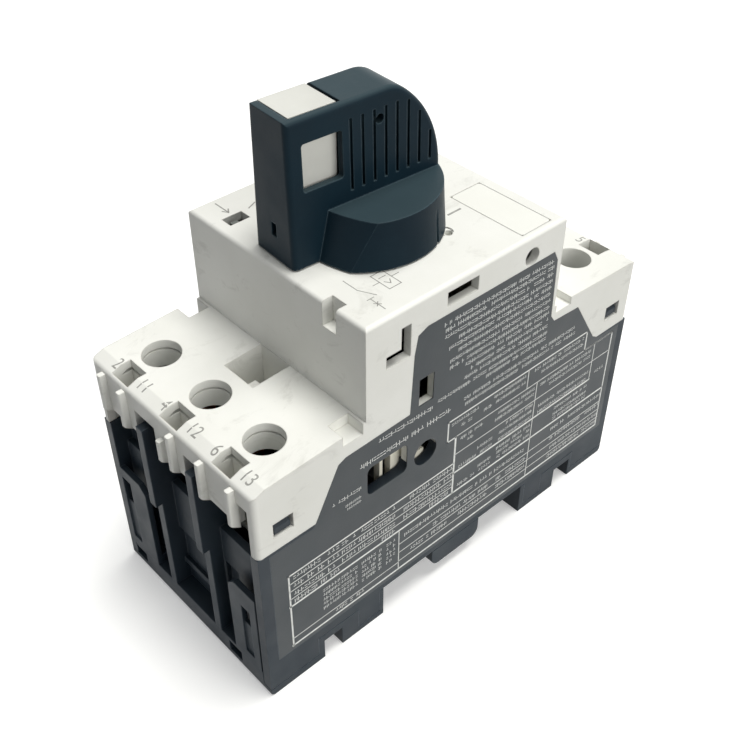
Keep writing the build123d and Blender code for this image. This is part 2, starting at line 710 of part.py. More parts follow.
def latch_spring():
    """A tube the size of the spring, from the foot's bore into the latch's."""
    y0 = LOAD_FOOT_Y - 6.9
    y1 = LOAD_NOTCH_Y - 1.0 + LATCH_SPRING_REACH
    outer = rod_y(0, y0, y1, LATCH_SPRING_Z, LATCH_SPRING_D)
    return outer - rod_y(0, y0 - 1, y1 + 1, LATCH_SPRING_Z, LATCH_SPRING_D - 1.0)


# Handle, drawn straight about the origin, then moved to its axis and turned

def place_handle(shape):
    return Pos(0, KNOB_Y, 0) * Rot(0, 0, HANDLE_TURN) * shape


def grip_profile(inset, low_z):
    """The grip's side outline: end wall, flat top and the long arc behind."""
    far = GRIP_FAR - inset
    top = GRIP_TOP_Z - inset
    r = GRIP_ARC_R - inset
    cy = far - r
    cz = GRIP_ARC_Z
    drop = top - cz
    flat_y = cy + (r * r - drop * drop) ** 0.5
    mid = radians(30)
    path = Line((0, -GRIP_END + inset, low_z), (0, -GRIP_END + inset, top))
    path += Line((0, -GRIP_END + inset, top), (0, flat_y, top))
    path += ThreePointArc((0, flat_y, top), (0, cy + r * cos(mid), cz + r * sin(mid)), (0, far, cz))
    path += Line((0, far, cz), (0, far, low_z))
    path += Line((0, far, low_z), (0, -GRIP_END + inset, low_z))
    return make_face(path)


def grip_body(inset, low_z):
    """The drafted slab of the grip, cut to its side outline."""
    height = GRIP_TOP_Z - low_z
    half = GRIP_HALF_TOP + height * sin(radians(GRIP_DRAFT)) - inset
    base = Pos(0, 0, low_z) * Rectangle(2 * half, 60)
    slab = extrude(base, amount=height + 2, taper=GRIP_DRAFT)
    side = extrude(grip_profile(inset, low_z), amount=20, dir=(1, 0, 0), both=True)
    if not inset:
        level = edge_near(side.edges().filter_by(Axis.X), z=GRIP_TOP_Z)
        side = fillet(max(level, key=lambda edge: edge.center().Y), GRIP_BROW_R)
    return slab & side


def knob_foot():
    """Round drafted foot, its load side scooped back towards the grip."""
    low = ThreePointArc((-SCOOP_LOW_X, SCOOP_LOW_Y), (0, SCOOP_LOW_MID_Y), (SCOOP_LOW_X, SCOOP_LOW_Y))
    low += ThreePointArc((SCOOP_LOW_X, SCOOP_LOW_Y), (0, KNOB_R), (-SCOOP_LOW_X, SCOOP_LOW_Y))
    top = ThreePointArc((-SCOOP_TOP_X, SCOOP_TOP_Y), (0, SCOOP_TOP_MID_Y), (SCOOP_TOP_X, SCOOP_TOP_Y))
    top += ThreePointArc((SCOOP_TOP_X, SCOOP_TOP_Y), (0, KNOB_TOP_R), (-SCOOP_TOP_X, SCOOP_TOP_Y))
    return loft([Pos(0, 0, KNOB_Z0) * make_face(low), Pos(0, 0, KNOB_TOP_Z) * make_face(top)])


def rotary_handle():
    grip = grip_body(0, KNOB_Z0)
    long_edges = [e for e in grip.edges() if e.center().Z > KNOB_TOP_Z + 2 and abs(e.center().X) > 4]
    corners = [e for e in grip.edges() if e.center().Y < -GRIP_END + 0.1 and abs(e.center().X) > 4]
    grip = fillet(long_edges + [e for e in corners if e not in long_edges], GRIP_EDGE_R)
    square = box(-SQUARE / 2, SQUARE / 2, -SQUARE / 2, SQUARE / 2, KNOB_Z0 - 1, HUB_TOP_Z)
    body = (grip - square) + (knob_foot() - square)
    hollow = grip_body(GRIP_WALL, KNOB_Z0 + 1.2)
    hollow &= box(-20, 20, -30, WINDOW_Y1 + 0.9, 0, 200)
    body -= hollow
    hub_room = rod_z(0, 0, KNOB_Z0 - 1, KNOB_TOP_Z - 1.6, 2 * (KNOB_TOP_R - 2.4))
    hub_room &= box(-20, 20, WINDOW_Y1 + 2.4, 20, 0, 200)
    hub_room -= rod_z(0, 0, KNOB_Z0 - 2, KNOB_TOP_Z, HUB_D)
    body -= hub_room
    window = box(-20, 20, WINDOW_Y0, WINDOW_Y1, WINDOW_Z0, WINDOW_Z1)
    window = fillet(window.edges().filter_by(Axis.X), 0.5)
    body -= window
    body -= box(-20, GRIP_HALF_TOP - GRIP_WALL + 0.2, TOP_CUT_Y0, TOP_CUT_Y1,
                GRIP_TOP_Z - TOP_CUT_DEEP, 200)
    for i in range(GROOVE_COUNT):
        y = GROOVE_FIRST + i * GROOVE_PITCH
        r = GRIP_ARC_R - GROOVE_EDGE
        reach = y - (GRIP_FAR - GRIP_ARC_R)
        top = min(GROOVE_TOP_Z, GRIP_ARC_Z + max(r * r - reach * reach, 0.0) ** 0.5)
        for sign in ENDS:
            face = GRIP_HALF_TOP + (GRIP_TOP_Z - top) * sin(radians(GRIP_DRAFT))
            low_face = GRIP_HALF_TOP + (GRIP_TOP_Z - GROOVE_Z0) * sin(radians(GRIP_DRAFT))
            deep = min(face, low_face) - GROOVE_DEEP
            body -= box(sign * deep, sign * 8, y - GROOVE_W / 2, y + GROOVE_W / 2, GROOVE_Z0, top)
    body -= rod_x(-10, 10, PIN_HOLE_Y, PIN_HOLE_Z, PIN_HOLE_D)
    body -= box(END_SLOT_X0, END_SLOT_X1, -GRIP_END - 1, -GRIP_END + END_SLOT_DEEP, END_SLOT_Z0, END_SLOT_Z1)
    mark = radians(INDEX_TURN)
    height = KNOB_TOP_Z - KNOB_Z0 + 2
    bar = Box(2 * INDEX_DEEP, INDEX_W, height)
    place = Pos(KNOB_R * cos(mark), KNOB_R * sin(mark), KNOB_Z0 + height / 2 - 1)
    body -= place * Rot(0, 0, INDEX_TURN) * bar
    return place_handle(body)


def lock_slide():
    """The padlock slide: a thick tongue with a shackle hole and a finger step."""
    y0 = TOP_CUT_Y0 + SLIDE_GAP
    y1 = TOP_CUT_Y1 - SLIDE_GAP
    top = GRIP_TOP_Z - 0.2
    body = box(-SLIDE_HALF_X, SLIDE_HALF_X, y0, y1, SLIDE_Z0, top)
    hole_z = (WINDOW_Z0 + WINDOW_Z1) / 2 - SLIDE_TRAVEL
    hole_y = (WINDOW_Y0 + WINDOW_Y1) / 2
    body -= rod_x(-10, 10, hole_y, hole_z, SLIDE_HOLE_D)
    step_x = -GRIP_HALF_TOP + 0.1
    body += box(step_x, SLIDE_HALF_X - 0.1, y0, y1, GRIP_TOP_Z - 1.6, top)
    return place_handle(body)


def switch_shaft():
    """Shaft under the handle: square end, round journal and drive cam."""
    shaft = rod_z(0, 0, CAM_Z0 + CAM_T, KNOB_Z0 - 0.05, SHAFT_D)
    square = SQUARE / 2 - 0.02
    shaft += box(-square, square, -square, square, KNOB_Z0 - 0.5, HUB_TOP_Z - 0.3)
    shaft += rod_z(0, 0, CAM_Z0, CAM_Z0 + CAM_T, CAM_D)
    shaft += rod_z(0, 0, FRONT_Z - COVER_WALL - 1.3, FRONT_Z - COVER_WALL - 0.3, SHAFT_D + 3)
    return place_handle(shaft)


# Mechanism between its two plates

def mechanism_plates():
    outline = [
        (MECH_LOAD_Y, MECH_Z0), (-15.5, MECH_Z0), (-15.5, SEAM_Z), (-6.0, SEAM_Z), (-6.0, MECH_Z0),
        (0.0, MECH_Z0), (0.0, SEAM_Z), (9.0, SEAM_Z), (9.0, MECH_Z0), (MECH_LINE_Y, MECH_Z0),
        (MECH_LINE_Y, MECH_Z1), (MECH_LOAD_Y, MECH_Z1),
    ]
    plates = []
    for sign in ENDS:
        x0 = sign * PLATE_X
        x1 = sign * (PLATE_X + MECH_T)
        plate = prism_yz(outline, min(x0, x1), max(x0, x1))
        for y, z in pin_places():
            plate -= rod_x(-20, 20, y, z, PIN_D)
        plates.append(plate)
    return Compound(plates)


def pin_places():
    return [(ROCKER_Y, ROCKER_Z), (LATCH_PIVOT_Y, LATCH_PIVOT_Z), (8.0, 60.0), (-16.0, 60.0)]


def mechanism_pins():
    half = PLATE_X + MECH_T + 0.6
    return Compound([rod_x(-half, half, y, z, PIN_D) for y, z in pin_places()])


def rocker_lever():
    half = ROCKER_HALF_X
    top = CAM_Z0 - 0.4
    bar = box(-half, half, ROCKER_TAIL_Y, ROCKER_TIP_Y, top - ROCKER_T, top)
    bar += rod_x(-half, half, ROCKER_Y, ROCKER_Z, PIN_D + 3)
    return bar - rod_x(-10, 10, ROCKER_Y, ROCKER_Z, PIN_D + 2 * PIN_CLEAR)


def trip_latch():
    half = 2.5
    arm = box(-half, half, LATCH_PIVOT_Y - 0.9, LATCH_PIVOT_Y + 0.9, LATCH_ARM_Z, LATCH_PIVOT_Z)
    arm += box(-half, half, LATCH_PIVOT_Y, ROCKER_TAIL_Y - 0.4, LATCH_PIVOT_Z - 0.8, LATCH_PIVOT_Z + 1.0)
    arm += rod_x(-half, half, LATCH_PIVOT_Y, LATCH_PIVOT_Z, PIN_D + 2.4)
    return arm - rod_x(-10, 10, LATCH_PIVOT_Y, LATCH_PIVOT_Z, PIN_D + 2 * PIN_CLEAR)


# Contacts, busbars and arc chutes

def contact_carrier():
    bar = box(-CARRIER_HALF_X, CARRIER_HALF_X, CARRIER_Y - CARRIER_HALF_Y, CARRIER_Y + CARRIER_HALF_Y,
              CARRIER_Z0, CARRIER_Z1)
    under = CONTACT_Z + TIP_T
    for x in POLES:
        leg = box(x - 3.8, x + 3.8, CARRIER_Y - CARRIER_HALF_Y, CARRIER_Y + CARRIER_HALF_Y,
                  under - 1.6, CARRIER_Z0 + 0.5)
        room = box(x - 2.9, x + 2.9, CARRIER_Y - 5, CARRIER_Y + 5, under - 0.2, 33.0)
        bar += leg - room
    stirrup = box(-5, 5, CARRIER_Y - 2, CARRIER_Y + 2, CARRIER_Z1 - 0.5, CAM_Z0 + 1.5)
    stirrup -= box(-3.4, 3.4, CARRIER_Y - 5, CARRIER_Y + 5, STIRRUP_Z, CAM_Z0)
    return bar + stirrup


def contact_bridges():
    bridges = []
    low = CONTACT_Z + TIP_T
    for x in POLES:
        half = CONTACT_SPAN / 2
        strip = box(x - BRIDGE_W / 2, x + BRIDGE_W / 2, CARRIER_Y - half - 2.2, CARRIER_Y + half + 2.2,
                    low, low + BRIDGE_T)
        for y in (CARRIER_Y - half, CARRIER_Y + half):
            strip += rod_z(x, y, CONTACT_Z + 0.05, low + 0.1, CONTACT_D)
        bridges.append(strip)
    return Compound(bridges)


def contact_springs():
    low = CONTACT_Z + TIP_T + BRIDGE_T
    tubes = [rod_z(x, CARRIER_Y, low, 33.0, 4.2) - rod_z(x, CARRIER_Y, low - 1, 34.0, 2.8) for x in POLES]
    return Compound(tubes)


def fixed_contacts():
    tips = []
    for x in POLES:
        for side in ENDS:
            y = CARRIER_Y + side * CONTACT_SPAN / 2
            tips.append(rod_z(x, y, CONTACT_Z - 1.2, CONTACT_Z, CONTACT_D))
    return Compound(tips)


def line_busbars():
    bars = []
    for x in POLES:
        x0 = x - BAR_W / 2
        x1 = x + BAR_W / 2
        leg_y = TERMINAL_WALL_Y - BAR_T
        low = CONTACT_Z - 1.2
        bar = box(x0, x1, leg_y, TERMINAL_Y + 4, BAR_Z, BAR_Z + BAR_T)
        bar += box(x0, x1, leg_y, leg_y + BAR_T, low - BAR_T, BAR_Z + BAR_T)
        bar += box(x0, x1, CARRIER_Y + CONTACT_SPAN / 2 - 2.4, leg_y + BAR_T, low - BAR_T, low)
        bars.append(bar)
    return Compound(bars)


def inner_busbars():
    bars = []
    for x in POLES:
        x0 = x - BAR_W / 2
        x1 = x + BAR_W / 2
        y = CARRIER_Y - CONTACT_SPAN / 2
        low = CONTACT_Z - 1.2
        bar = box(x0, x1, y - 2.4, y + 2.4, low - BAR_T, low)
        bar += box(x0, x1, y + 1.2, y + 2.4, BAR_LOW_Z, low)
        bar += box(x0, x1, COIL_Y + 6.6, y + 2.4, BAR_LOW_Z, BAR_LOW_Z + BAR_T)
        bars.append(bar)
    return Compound(bars)


def load_busbars():
    bars = []
    for x in POLES:
        x0 = x - BAR_W / 2
        x1 = x + BAR_W / 2
        leg_y = -TERMINAL_WALL_Y + BAR_T
        bar = box(x0, x1, -TERMINAL_Y - 4, leg_y, BAR_Z, BAR_Z + BAR_T)
        bar += box(x0, x1, leg_y - BAR_T, leg_y, BAR_LOW_Z, BAR_Z + BAR_T)
        bar += box(x0, x1, leg_y - BAR_T, BIMETAL_Y + 1.2, BAR_LOW_Z, BAR_LOW_Z + BAR_T)
        bars.append(bar)
    return Compound(bars)


def arc_chutes():
    """Stacks of steel splitter plates held by two cheeks, two in each pole."""
    chutes = []
    plates = 6
    pitch = 1.8
    for x in POLES:
        for y0, y1 in ((24.2, 29.6), (-2.8, 3.4)):
            z0 = CONTACT_Z
            stack = Part()
            for i in range(plates):
                z = z0 + i * pitch
                stack += box(x - 5.2, x + 5.2, y0, y1, z, z + 0.8)
            top = z0 + (plates - 1) * pitch + 0.8
            for sign in ENDS:
                stack += box(x + sign * 5.1, x + sign * 5.7, y0, y1, PLATE_Z + FLOOR_T, top)
            chutes.append(stack)
    return Compound(chutes)


# Terminals

def terminal_screw(x, side):
    y = side * TERMINAL_Y
    screw = rod_z(x, y, HEAD_Z0, HEAD_Z1, HEAD_D)
    screw += rod_z(x, y, BAR_Z + BAR_T + 0.05, HEAD_Z0 + 0.1, SCREW_D)
    top_edge = screw.edges().filter_by(GeomType.CIRCLE).sort_by(Axis.Z)[-1]
    screw = fillet(top_edge, 0.4)
    for wide, long in ((0.9, 4.8), (4.8, 0.9)):
        screw -= box(x - wide / 2, x + wide / 2, y - long / 2, y + long / 2, HEAD_Z1 - 1.2, HEAD_Z1 + 1)
    return screw


def terminal_clamp(x, side):
    """A box clamp round the busbar, lifted by its screw."""
    y = side * TERMINAL_Y
    half = CLAMP_W / 2
    clamp = box(x - half, x + half, y - CLAMP_L / 2, y + CLAMP_L / 2, CLAMP_Z0, CLAMP_Z1)
    clamp -= box(x - half + CLAMP_T, x + half - CLAMP_T, y - 10, y + 10,
                 CLAMP_Z0 + CLAMP_T, CLAMP_Z1 - CLAMP_T)
    return clamp - rod_z(x, y, CLAMP_Z1 - CLAMP_T - 1, CLAMP_Z1 + 1, SCREW_D + 2 * CLAMP_GAP)


# Magnetic and thermal releases

def coil_bobbins():
    bobbins = []
    for x in POLES:
        bobbin = rod_z(x, COIL_Y, COIL_Z0 - 1, COIL_Z1 + 1, BOBBIN_D)
        for z0, z1 in ((COIL_Z0 - 1, COIL_Z0), (COIL_Z1, COIL_Z1 + 1)):
            bobbin += rod_z(x, COIL_Y, z0, z1, COIL_D + 0.8)
        bobbins.append(bobbin - rod_z(x, COIL_Y, COIL_Z0 - 2, COIL_Z1 + 2, PLUNGER_D + 0.3))
    return Compound(bobbins)


def magnet_coils():
    coils = []
    for x in POLES:
        coil = rod_z(x, COIL_Y, COIL_Z0, COIL_Z1, COIL_D)
        coils.append(coil - rod_z(x, COIL_Y, COIL_Z0 - 1, COIL_Z1 + 1, BOBBIN_D))
    return Compound(coils)


def magnet_yokes():
    yokes = []
    reach = COIL_D / 2 + 0.7
    for x in POLES:
        low = PLATE_Z + FLOOR_T
        top = COIL_Z1 + 2.2
        yoke = box(x - 4.5, x + 4.5, COIL_Y - reach, COIL_Y - reach - 1.2, low, top)
        yoke += box(x - 4.5, x + 4.5, COIL_Y - reach - 1.2, COIL_Y + reach, top - 1.2, top)
        yoke += box(x - 4.5, x + 4.5, COIL_Y - reach - 1.2, COIL_Y + reach, COIL_Z0 - 2.2, COIL_Z0 - 1)
        for z0, z1 in ((COIL_Z0 - 5, COIL_Z0), (top - 2, top + 1)):
            yoke -= rod_z(x, COIL_Y, z0, z1, PLUNGER_D + 0.3)
        yokes.append(yoke)
    return Compound(yokes)


def magnet_plunger(x):
    plunger = rod_z(x, COIL_Y, COIL_Z0 - 0.6, COIL_Z1 + 3.6, PLUNGER_D)
    return plunger + rod_z(x, COIL_Y, COIL_Z1 + 3, PLUNGER_TOP_Z, PLUNGER_D / 2)


def bimetal_strips():
    strips = []
    for x in POLES:
        strips.append(box(x - BIMETAL_W / 2, x + BIMETAL_W / 2, BIMETAL_Y - BIMETAL_T / 2,
                          BIMETAL_Y + BIMETAL_T / 2, BAR_LOW_Z + BAR_T, BIMETAL_TOP_Z))
    return Compound(strips)


def heater_windings():
    windings = []
    for x in POLES:
        wide = BIMETAL_W / 2 + 1.2
        deep = BIMETAL_T / 2 + 1.1
        sleeve = box(x - wide, x + wide, BIMETAL_Y - deep, BIMETAL_Y + deep, 16, 31)
        sleeve = fillet(sleeve.edges().filter_by(Axis.Z), 0.8)
        gap = 0.05
        sleeve -= box(x - BIMETAL_W / 2 - gap, x + BIMETAL_W / 2 + gap, BIMETAL_Y - BIMETAL_T / 2 - gap,
                      BIMETAL_Y + BIMETAL_T / 2 + gap, 10, 40)
        windings.append(sleeve)
    return Compound(windings)


def trip_bar():
    bar = box(-TRIP_HALF_X, TRIP_HALF_X, TRIP_Y0, TRIP_Y1, TRIP_Z0, TRIP_Z1)
    for x in POLES:
        tip_y = BIMETAL_Y + BIMETAL_T / 2 + 0.3
        bar += box(x - 1.5, x + 1.5, tip_y, TRIP_Y0 + 0.1, TRIP_Z0 + 0.5, TRIP_Z1 - 1.2)
    return bar


def trip_link():
    """The tall side link on the trip bar, seen through the right side's window."""
    x1 = SWITCH_LINK_X - LINK_GAP
    x0 = x1 - LINK_T
    link = box(x0, x1, TRIP_Y0, TRIP_LINK_Y1, TRIP_Z1, TRIP_Z1 + 4.0)
    return link + box(x0, x1, TRIP_LINK_Y1 - 2.4, TRIP_LINK_Y1, TRIP_Z1, TRIP_LINK_Z1)


def switch_link():
    """The pale side link on the end of the contact carrier."""
    x0 = SWITCH_LINK_X
    x1 = HALF_W - BASE_WALL - RUN_GAP
    low = CARRIER_Z0 + 0.2
    link = box(x0, x1, LINK_LOAD_Y, LINK_LINE_Y, LINK_FOOT_Z0, LINK_TOP_Z)
    link += box(x0, x1, LINK_LOAD_Y, LINK_FOOT_Y, LINK_FOOT_Z0, LINK_FOOT_Z1)
    link += box(x0, x1, LINK_PRONG_Y, LINK_PRONG_Y + LINK_PRONG_W, LINK_FOOT_Z0, LINK_TOP_Z)
    link += box(x0, x1, LINK_PRONG_Y, CARRIER_Y + 2, low, LINK_TOP_Z)
    return link + box(CARRIER_HALF_X, x1, CARRIER_Y - 2, CARRIER_Y + 2, low, LINK_TOP_Z)


def test_lever():
    x0 = TEST_SLOT_X - 0.75
    x1 = TEST_SLOT_X + 0.75
    under = FRONT_Z - COVER_WALL - 0.3
    y0 = TEST_SLOT_Y - 0.9
    lever = box(x0, x1, y0, y0 + 1.5, TRIP_Z1 + 1.5, under)
    lever += box(x0, x1, TRIP_Y0 - 1.4, y0 + 1.5, TRIP_Z1 - 0.7, TRIP_Z1 + 3.5)
    lever -= box(x0 - 1, x1 + 1, TRIP_Y0 - 0.2, TRIP_Y1 + 2.5, TRIP_Z1 - 2, TRIP_Z1 + 0.3)
    lever += box(x0 + 0.1, x1 - 0.1, y0, y0 + 1.4, under - 0.1, FRONT_Z - 0.8)
    return lever


def setting_dial():
    """A slotted dial, held under the front by its flange."""
    under = FRONT_Z - COVER_WALL - 0.3
    dial = rod_z(DIAL_X, DIAL_Y, under - 0.1, DIAL_TOP_Z, DIAL_D)
    dial += rod_z(DIAL_X, DIAL_Y, under - 2.0, under, DIAL_D + 2.4)
    dial += rod_z(DIAL_X, DIAL_Y, under - 9.0, under - 1.9, 4.0)
    dial -= box(DIAL_X - 0.6, DIAL_X + 0.6, DIAL_Y - 3.4, DIAL_Y + 3.4, DIAL_TOP_Z - 1.3, DIAL_TOP_Z + 1)
    pointer = box(DIAL_X - 0.35, DIAL_X + 0.35, DIAL_Y + 3.4, DIAL_Y + 4.6, DIAL_TOP_Z - 0.4, DIAL_TOP_Z + 1)
    return dial - pointer


def marking_plate():
    g = PLATE_GAP
    plate = box(PLATE_X0 + g, PLATE_X1 - g, PLATE_Y0 + g, PLATE_Y1 - g, FRONT_Z - PLATE_T, FRONT_Z)
    return fillet(plate.edges().filter_by(Axis.Z), 0.6)


def side_label():
    skin = label_solid(HALF_W - LABEL_T, HALF_W)
    skin -= label_windows(HALF_W - 1, HALF_W + 1, 0)
    skin -= side_slots()
    return skin


os.makedirs("parts", exist_ok=True)
block, load_shoulder, line_shoulder = cover_pieces()
save("front_cover", block)
save("terminal_cover_load", load_shoulder)
save("terminal_cover_line", line_shoulder)
save("base_housing", base_housing())
save("rail_base", rail_base())
save("rail_latch", rail_latch())
save("rail_latch_spring", latch_spring())
save("side_label", side_label())
save("marking_plate", marking_plate())
save("rotary_handle", rotary_handle())
save("handle_lock_slide", lock_slide())
save("switch_shaft", switch_shaft())
save("mechanism_plates", mechanism_plates())
save("mechanism_pins", mechanism_pins())
save("rocker_lever", rocker_lever())
save("trip_latch", trip_latch())
save("contact_carrier", contact_carrier())
save("contact_bridges", contact_bridges())
save("contact_springs", contact_springs())
save("fixed_contacts", fixed_contacts())
save("line_busbars", line_busbars())
save("inner_busbars", inner_busbars())
save("load_busbars", load_busbars())
save("arc_chutes", arc_chutes())
save("coil_bobbins", coil_bobbins())
save("magnet_coils", magnet_coils())
save("magnet_yokes", magnet_yokes())
save("bimetal_strips", bimetal_strips())
save("heater_windings", heater_windings())
save("trip_bar", trip_bar())
save("trip_link", trip_link())
save("switch_link", switch_link())
save("test_lever", test_lever())
save("setting_dial", setting_dial())
for number, x in enumerate(POLES, start=1):
    save(f"magnet_plunger_{number}", magnet_plunger(x))
    for side, terminal in ((1, 2 * number - 1), (-1, 2 * number)):
        save(f"terminal_screw_{terminal}", terminal_screw(x, side))
        save(f"terminal_clamp_{terminal}", terminal_clamp(x, side))
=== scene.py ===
"""The looks of a motor protection circuit breaker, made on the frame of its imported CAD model."""
import json
import math
import bmesh
import bpy
from mathutils import Euler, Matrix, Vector
from mathutils.bvhtree import BVHTree

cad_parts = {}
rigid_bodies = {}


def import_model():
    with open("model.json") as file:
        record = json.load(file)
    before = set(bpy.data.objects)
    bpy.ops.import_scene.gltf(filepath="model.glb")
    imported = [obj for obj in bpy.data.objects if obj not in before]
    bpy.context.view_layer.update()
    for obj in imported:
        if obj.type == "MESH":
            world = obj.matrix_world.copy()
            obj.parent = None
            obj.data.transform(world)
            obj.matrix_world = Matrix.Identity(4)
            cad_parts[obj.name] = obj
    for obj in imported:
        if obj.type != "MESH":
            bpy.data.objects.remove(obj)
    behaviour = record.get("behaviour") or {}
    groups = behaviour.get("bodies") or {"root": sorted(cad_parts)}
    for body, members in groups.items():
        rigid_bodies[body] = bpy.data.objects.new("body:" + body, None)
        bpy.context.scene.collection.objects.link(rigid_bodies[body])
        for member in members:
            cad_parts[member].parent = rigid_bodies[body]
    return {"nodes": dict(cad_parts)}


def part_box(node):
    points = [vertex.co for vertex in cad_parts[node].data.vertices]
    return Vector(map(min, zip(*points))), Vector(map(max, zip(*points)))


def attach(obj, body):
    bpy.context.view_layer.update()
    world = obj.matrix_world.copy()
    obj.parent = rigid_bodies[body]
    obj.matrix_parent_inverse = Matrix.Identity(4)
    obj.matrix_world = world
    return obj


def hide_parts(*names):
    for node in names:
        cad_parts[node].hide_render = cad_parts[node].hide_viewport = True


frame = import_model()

# The start-up objects go first, so that the box kept here is the CAD's own.
for thing in list(bpy.data.objects):
    if thing.name in ("Cube", "Camera", "Light"):
        bpy.data.objects.remove(thing, do_unlink=True)
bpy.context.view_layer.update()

# Camera
# It stands where the photograph was taken from: close by, above the load end and the label side.
# Its place, angles and lens were solved from the edges of the housing.
MM = 0.001
CAMERA_AT = (112.68 * MM, -104.92 * MM, 166.79 * MM)
CAMERA_AZIMUTH = math.radians(47.65)
CAMERA_ELEVATION = math.radians(40.64)
CAMERA_LENS = 50.70
SENSOR_WIDTH = 36.0
NEAREST_SEEN = 10 * MM
camera_data = bpy.data.cameras.new("photo_camera")
camera_data.lens = CAMERA_LENS
camera_data.sensor_width = SENSOR_WIDTH
camera_data.clip_start = NEAREST_SEEN
camera = bpy.data.objects.new("photo_camera", camera_data)
camera.location = CAMERA_AT
look = Vector((-math.sin(CAMERA_AZIMUTH) * math.cos(CAMERA_ELEVATION),
               math.cos(CAMERA_AZIMUTH) * math.cos(CAMERA_ELEVATION),
               -math.sin(CAMERA_ELEVATION)))
camera.rotation_euler = look.to_track_quat("-Z", "Y").to_euler()
bpy.context.scene.collection.objects.link(camera)
bpy.context.scene.camera = camera
bpy.context.scene.view_settings.view_transform = "Standard"


# Table and light
# A plain white table, a broad soft light overhead, a wide low one on the label side, and an even room.
# The camera sees the table and room as white; the table keeps the breaker's soft shadow.
TABLE_HALF = 8.0
TABLE_GLOW = 0.32
ROOM_LIGHT = 0.20
# Each light's name, direction, spread in degrees and strength.
LIGHTS = (("overhead_light", Vector((0.06, 0.20, 1.0)), 30, 2.74),
          ("side_light", Vector((1.0, 0.12, 0.34)), 50, 1.75))


def linear(code):
    """Turn an sRGB hex colour into the linear colour that a shader takes."""
    values = [int(code[i:i + 2], 16) / 255 for i in (1, 3, 5)]
    return [v / 12.92 if v <= 0.04045 else ((v + 0.055) / 1.055) ** 2.4 for v in values] + [1.0]


def add_node(tree, kind, settings=None, inputs=None):
    """Add one node, set its properties, and fill its inputs with values or with links."""
    node = tree.nodes.new(kind)
    for key, value in (settings or {}).items():
        setattr(node, key, value)
    for key, value in (inputs or {}).items():
        if isinstance(value, bpy.types.NodeSocket):
            tree.links.new(value, node.inputs[key])
        else:
            node.inputs[key].default_value = value
    return node


def sight_rays(tree):
    """Give 1 for rays of the camera, of reflections and through clear pieces, and 0 for the rest."""
    ray = add_node(tree, "ShaderNodeLightPath")
    seen = ray.outputs["Is Camera Ray"]
    for kind in ("Is Glossy Ray", "Is Transmission Ray"):
        seen = add_node(tree, "ShaderNodeMath", {"operation": "MAXIMUM"},
                        {0: seen, 1: ray.outputs[kind]}).outputs[0]
    return seen


table_mesh = bpy.data.meshes.new("table")
table_mesh.from_pydata([(-TABLE_HALF, -TABLE_HALF, 0), (TABLE_HALF, -TABLE_HALF, 0),
                        (TABLE_HALF, TABLE_HALF, 0), (-TABLE_HALF, TABLE_HALF, 0)], [], [(0, 1, 2, 3)])
table = bpy.data.objects.new("table", table_mesh)
bpy.context.scene.collection.objects.link(table)
# Matt paper: plain white to the eye but for the soft shadow, and it throws little light back up.
paper = bpy.data.materials.new("matt_white_paper")
paper.use_nodes = True
tree = paper.node_tree
tree.nodes.remove(tree.nodes["Principled BSDF"])
lit = add_node(tree, "ShaderNodeBsdfDiffuse", inputs={"Color": linear("#E9E9E8")})
glow = add_node(tree, "ShaderNodeEmission", inputs={"Strength": TABLE_GLOW})
shown = add_node(tree, "ShaderNodeAddShader", inputs={0: lit.outputs[0], 1: glow.outputs[0]})
bounced = add_node(tree, "ShaderNodeBsdfDiffuse", inputs={"Color": linear("#8E8E8E")})
mixed = add_node(tree, "ShaderNodeMixShader",
                 inputs={0: sight_rays(tree), 1: bounced.outputs[0], 2: shown.outputs[0]})
tree.links.new(mixed.outputs[0], tree.nodes["Material Output"].inputs["Surface"])
table_mesh.materials.append(paper)

for name, direction, spread, strength in LIGHTS:
    light_data = bpy.data.lights.new(name, "SUN")
    light_data.angle = math.radians(spread)
    light_data.energy = strength
    light_data.color = linear("#FFFEFA")[:3]
    light = bpy.data.objects.new(name, light_data)
    light.rotation_euler = direction.to_track_quat("Z", "Y").to_euler()
    bpy.context.scene.collection.objects.link(light)

# The room: a faint, even, cool light on the breaker, and plain white behind it and in reflections.
room = bpy.data.worlds.new("pale_room")
bpy.context.scene.world = room
room.use_nodes = True
tree = room.node_tree
dim = tree.nodes["Background"]
dim.inputs["Color"].default_value = linear("#F6FAFF")
dim.inputs["Strength"].default_value = ROOM_LIGHT
white = add_node(tree, "ShaderNodeBackground", inputs={"Color": linear("#FFFFFF"), "Strength": 1.0})
mixed = add_node(tree, "ShaderNodeMixShader",
                 inputs={0: sight_rays(tree), 1: dim.outputs[0], 2: white.outputs[0]})
tree.links.new(mixed.outputs[0], tree.nodes["World Output"].inputs["Surface"])


# Dark base, rail base and rail latch
# The lower half of the housing: glass-filled polyamide, moulded near black in steel moulds.
# A fine spark-eroded grain makes it satin, and its corners are paler:
# partly worn by handling, partly a painted highlight.

# Sizes in mm of what varies over a moulded face: its colour, smears, spots on its edges and sheen.
DRIFT_SIZE = 18.18
SMEAR_SIZE = 6.667
EDGE_SPOT_SIZE = 2.0
SHEEN_SIZE = 6.25
SHEEN_SPREAD = 0.07
# Depth of the grain. Its pitch is drawn at 0.25 mm, coarser than a real one of 0.1 mm, so that it shows.
GRAIN_DEPTH = 0.03
# An edge takes the edge colour, partly as worn and partly as painted light, where its rounding
# turns from the flat face: the cosines where that begins and ends.
EDGE_MIX_BEGINS = 0.985
EDGE_MIX_FULL = 0.82
# How far to each side of a join the edge is left out, in corner radii.
JOIN_REACH = 1.2


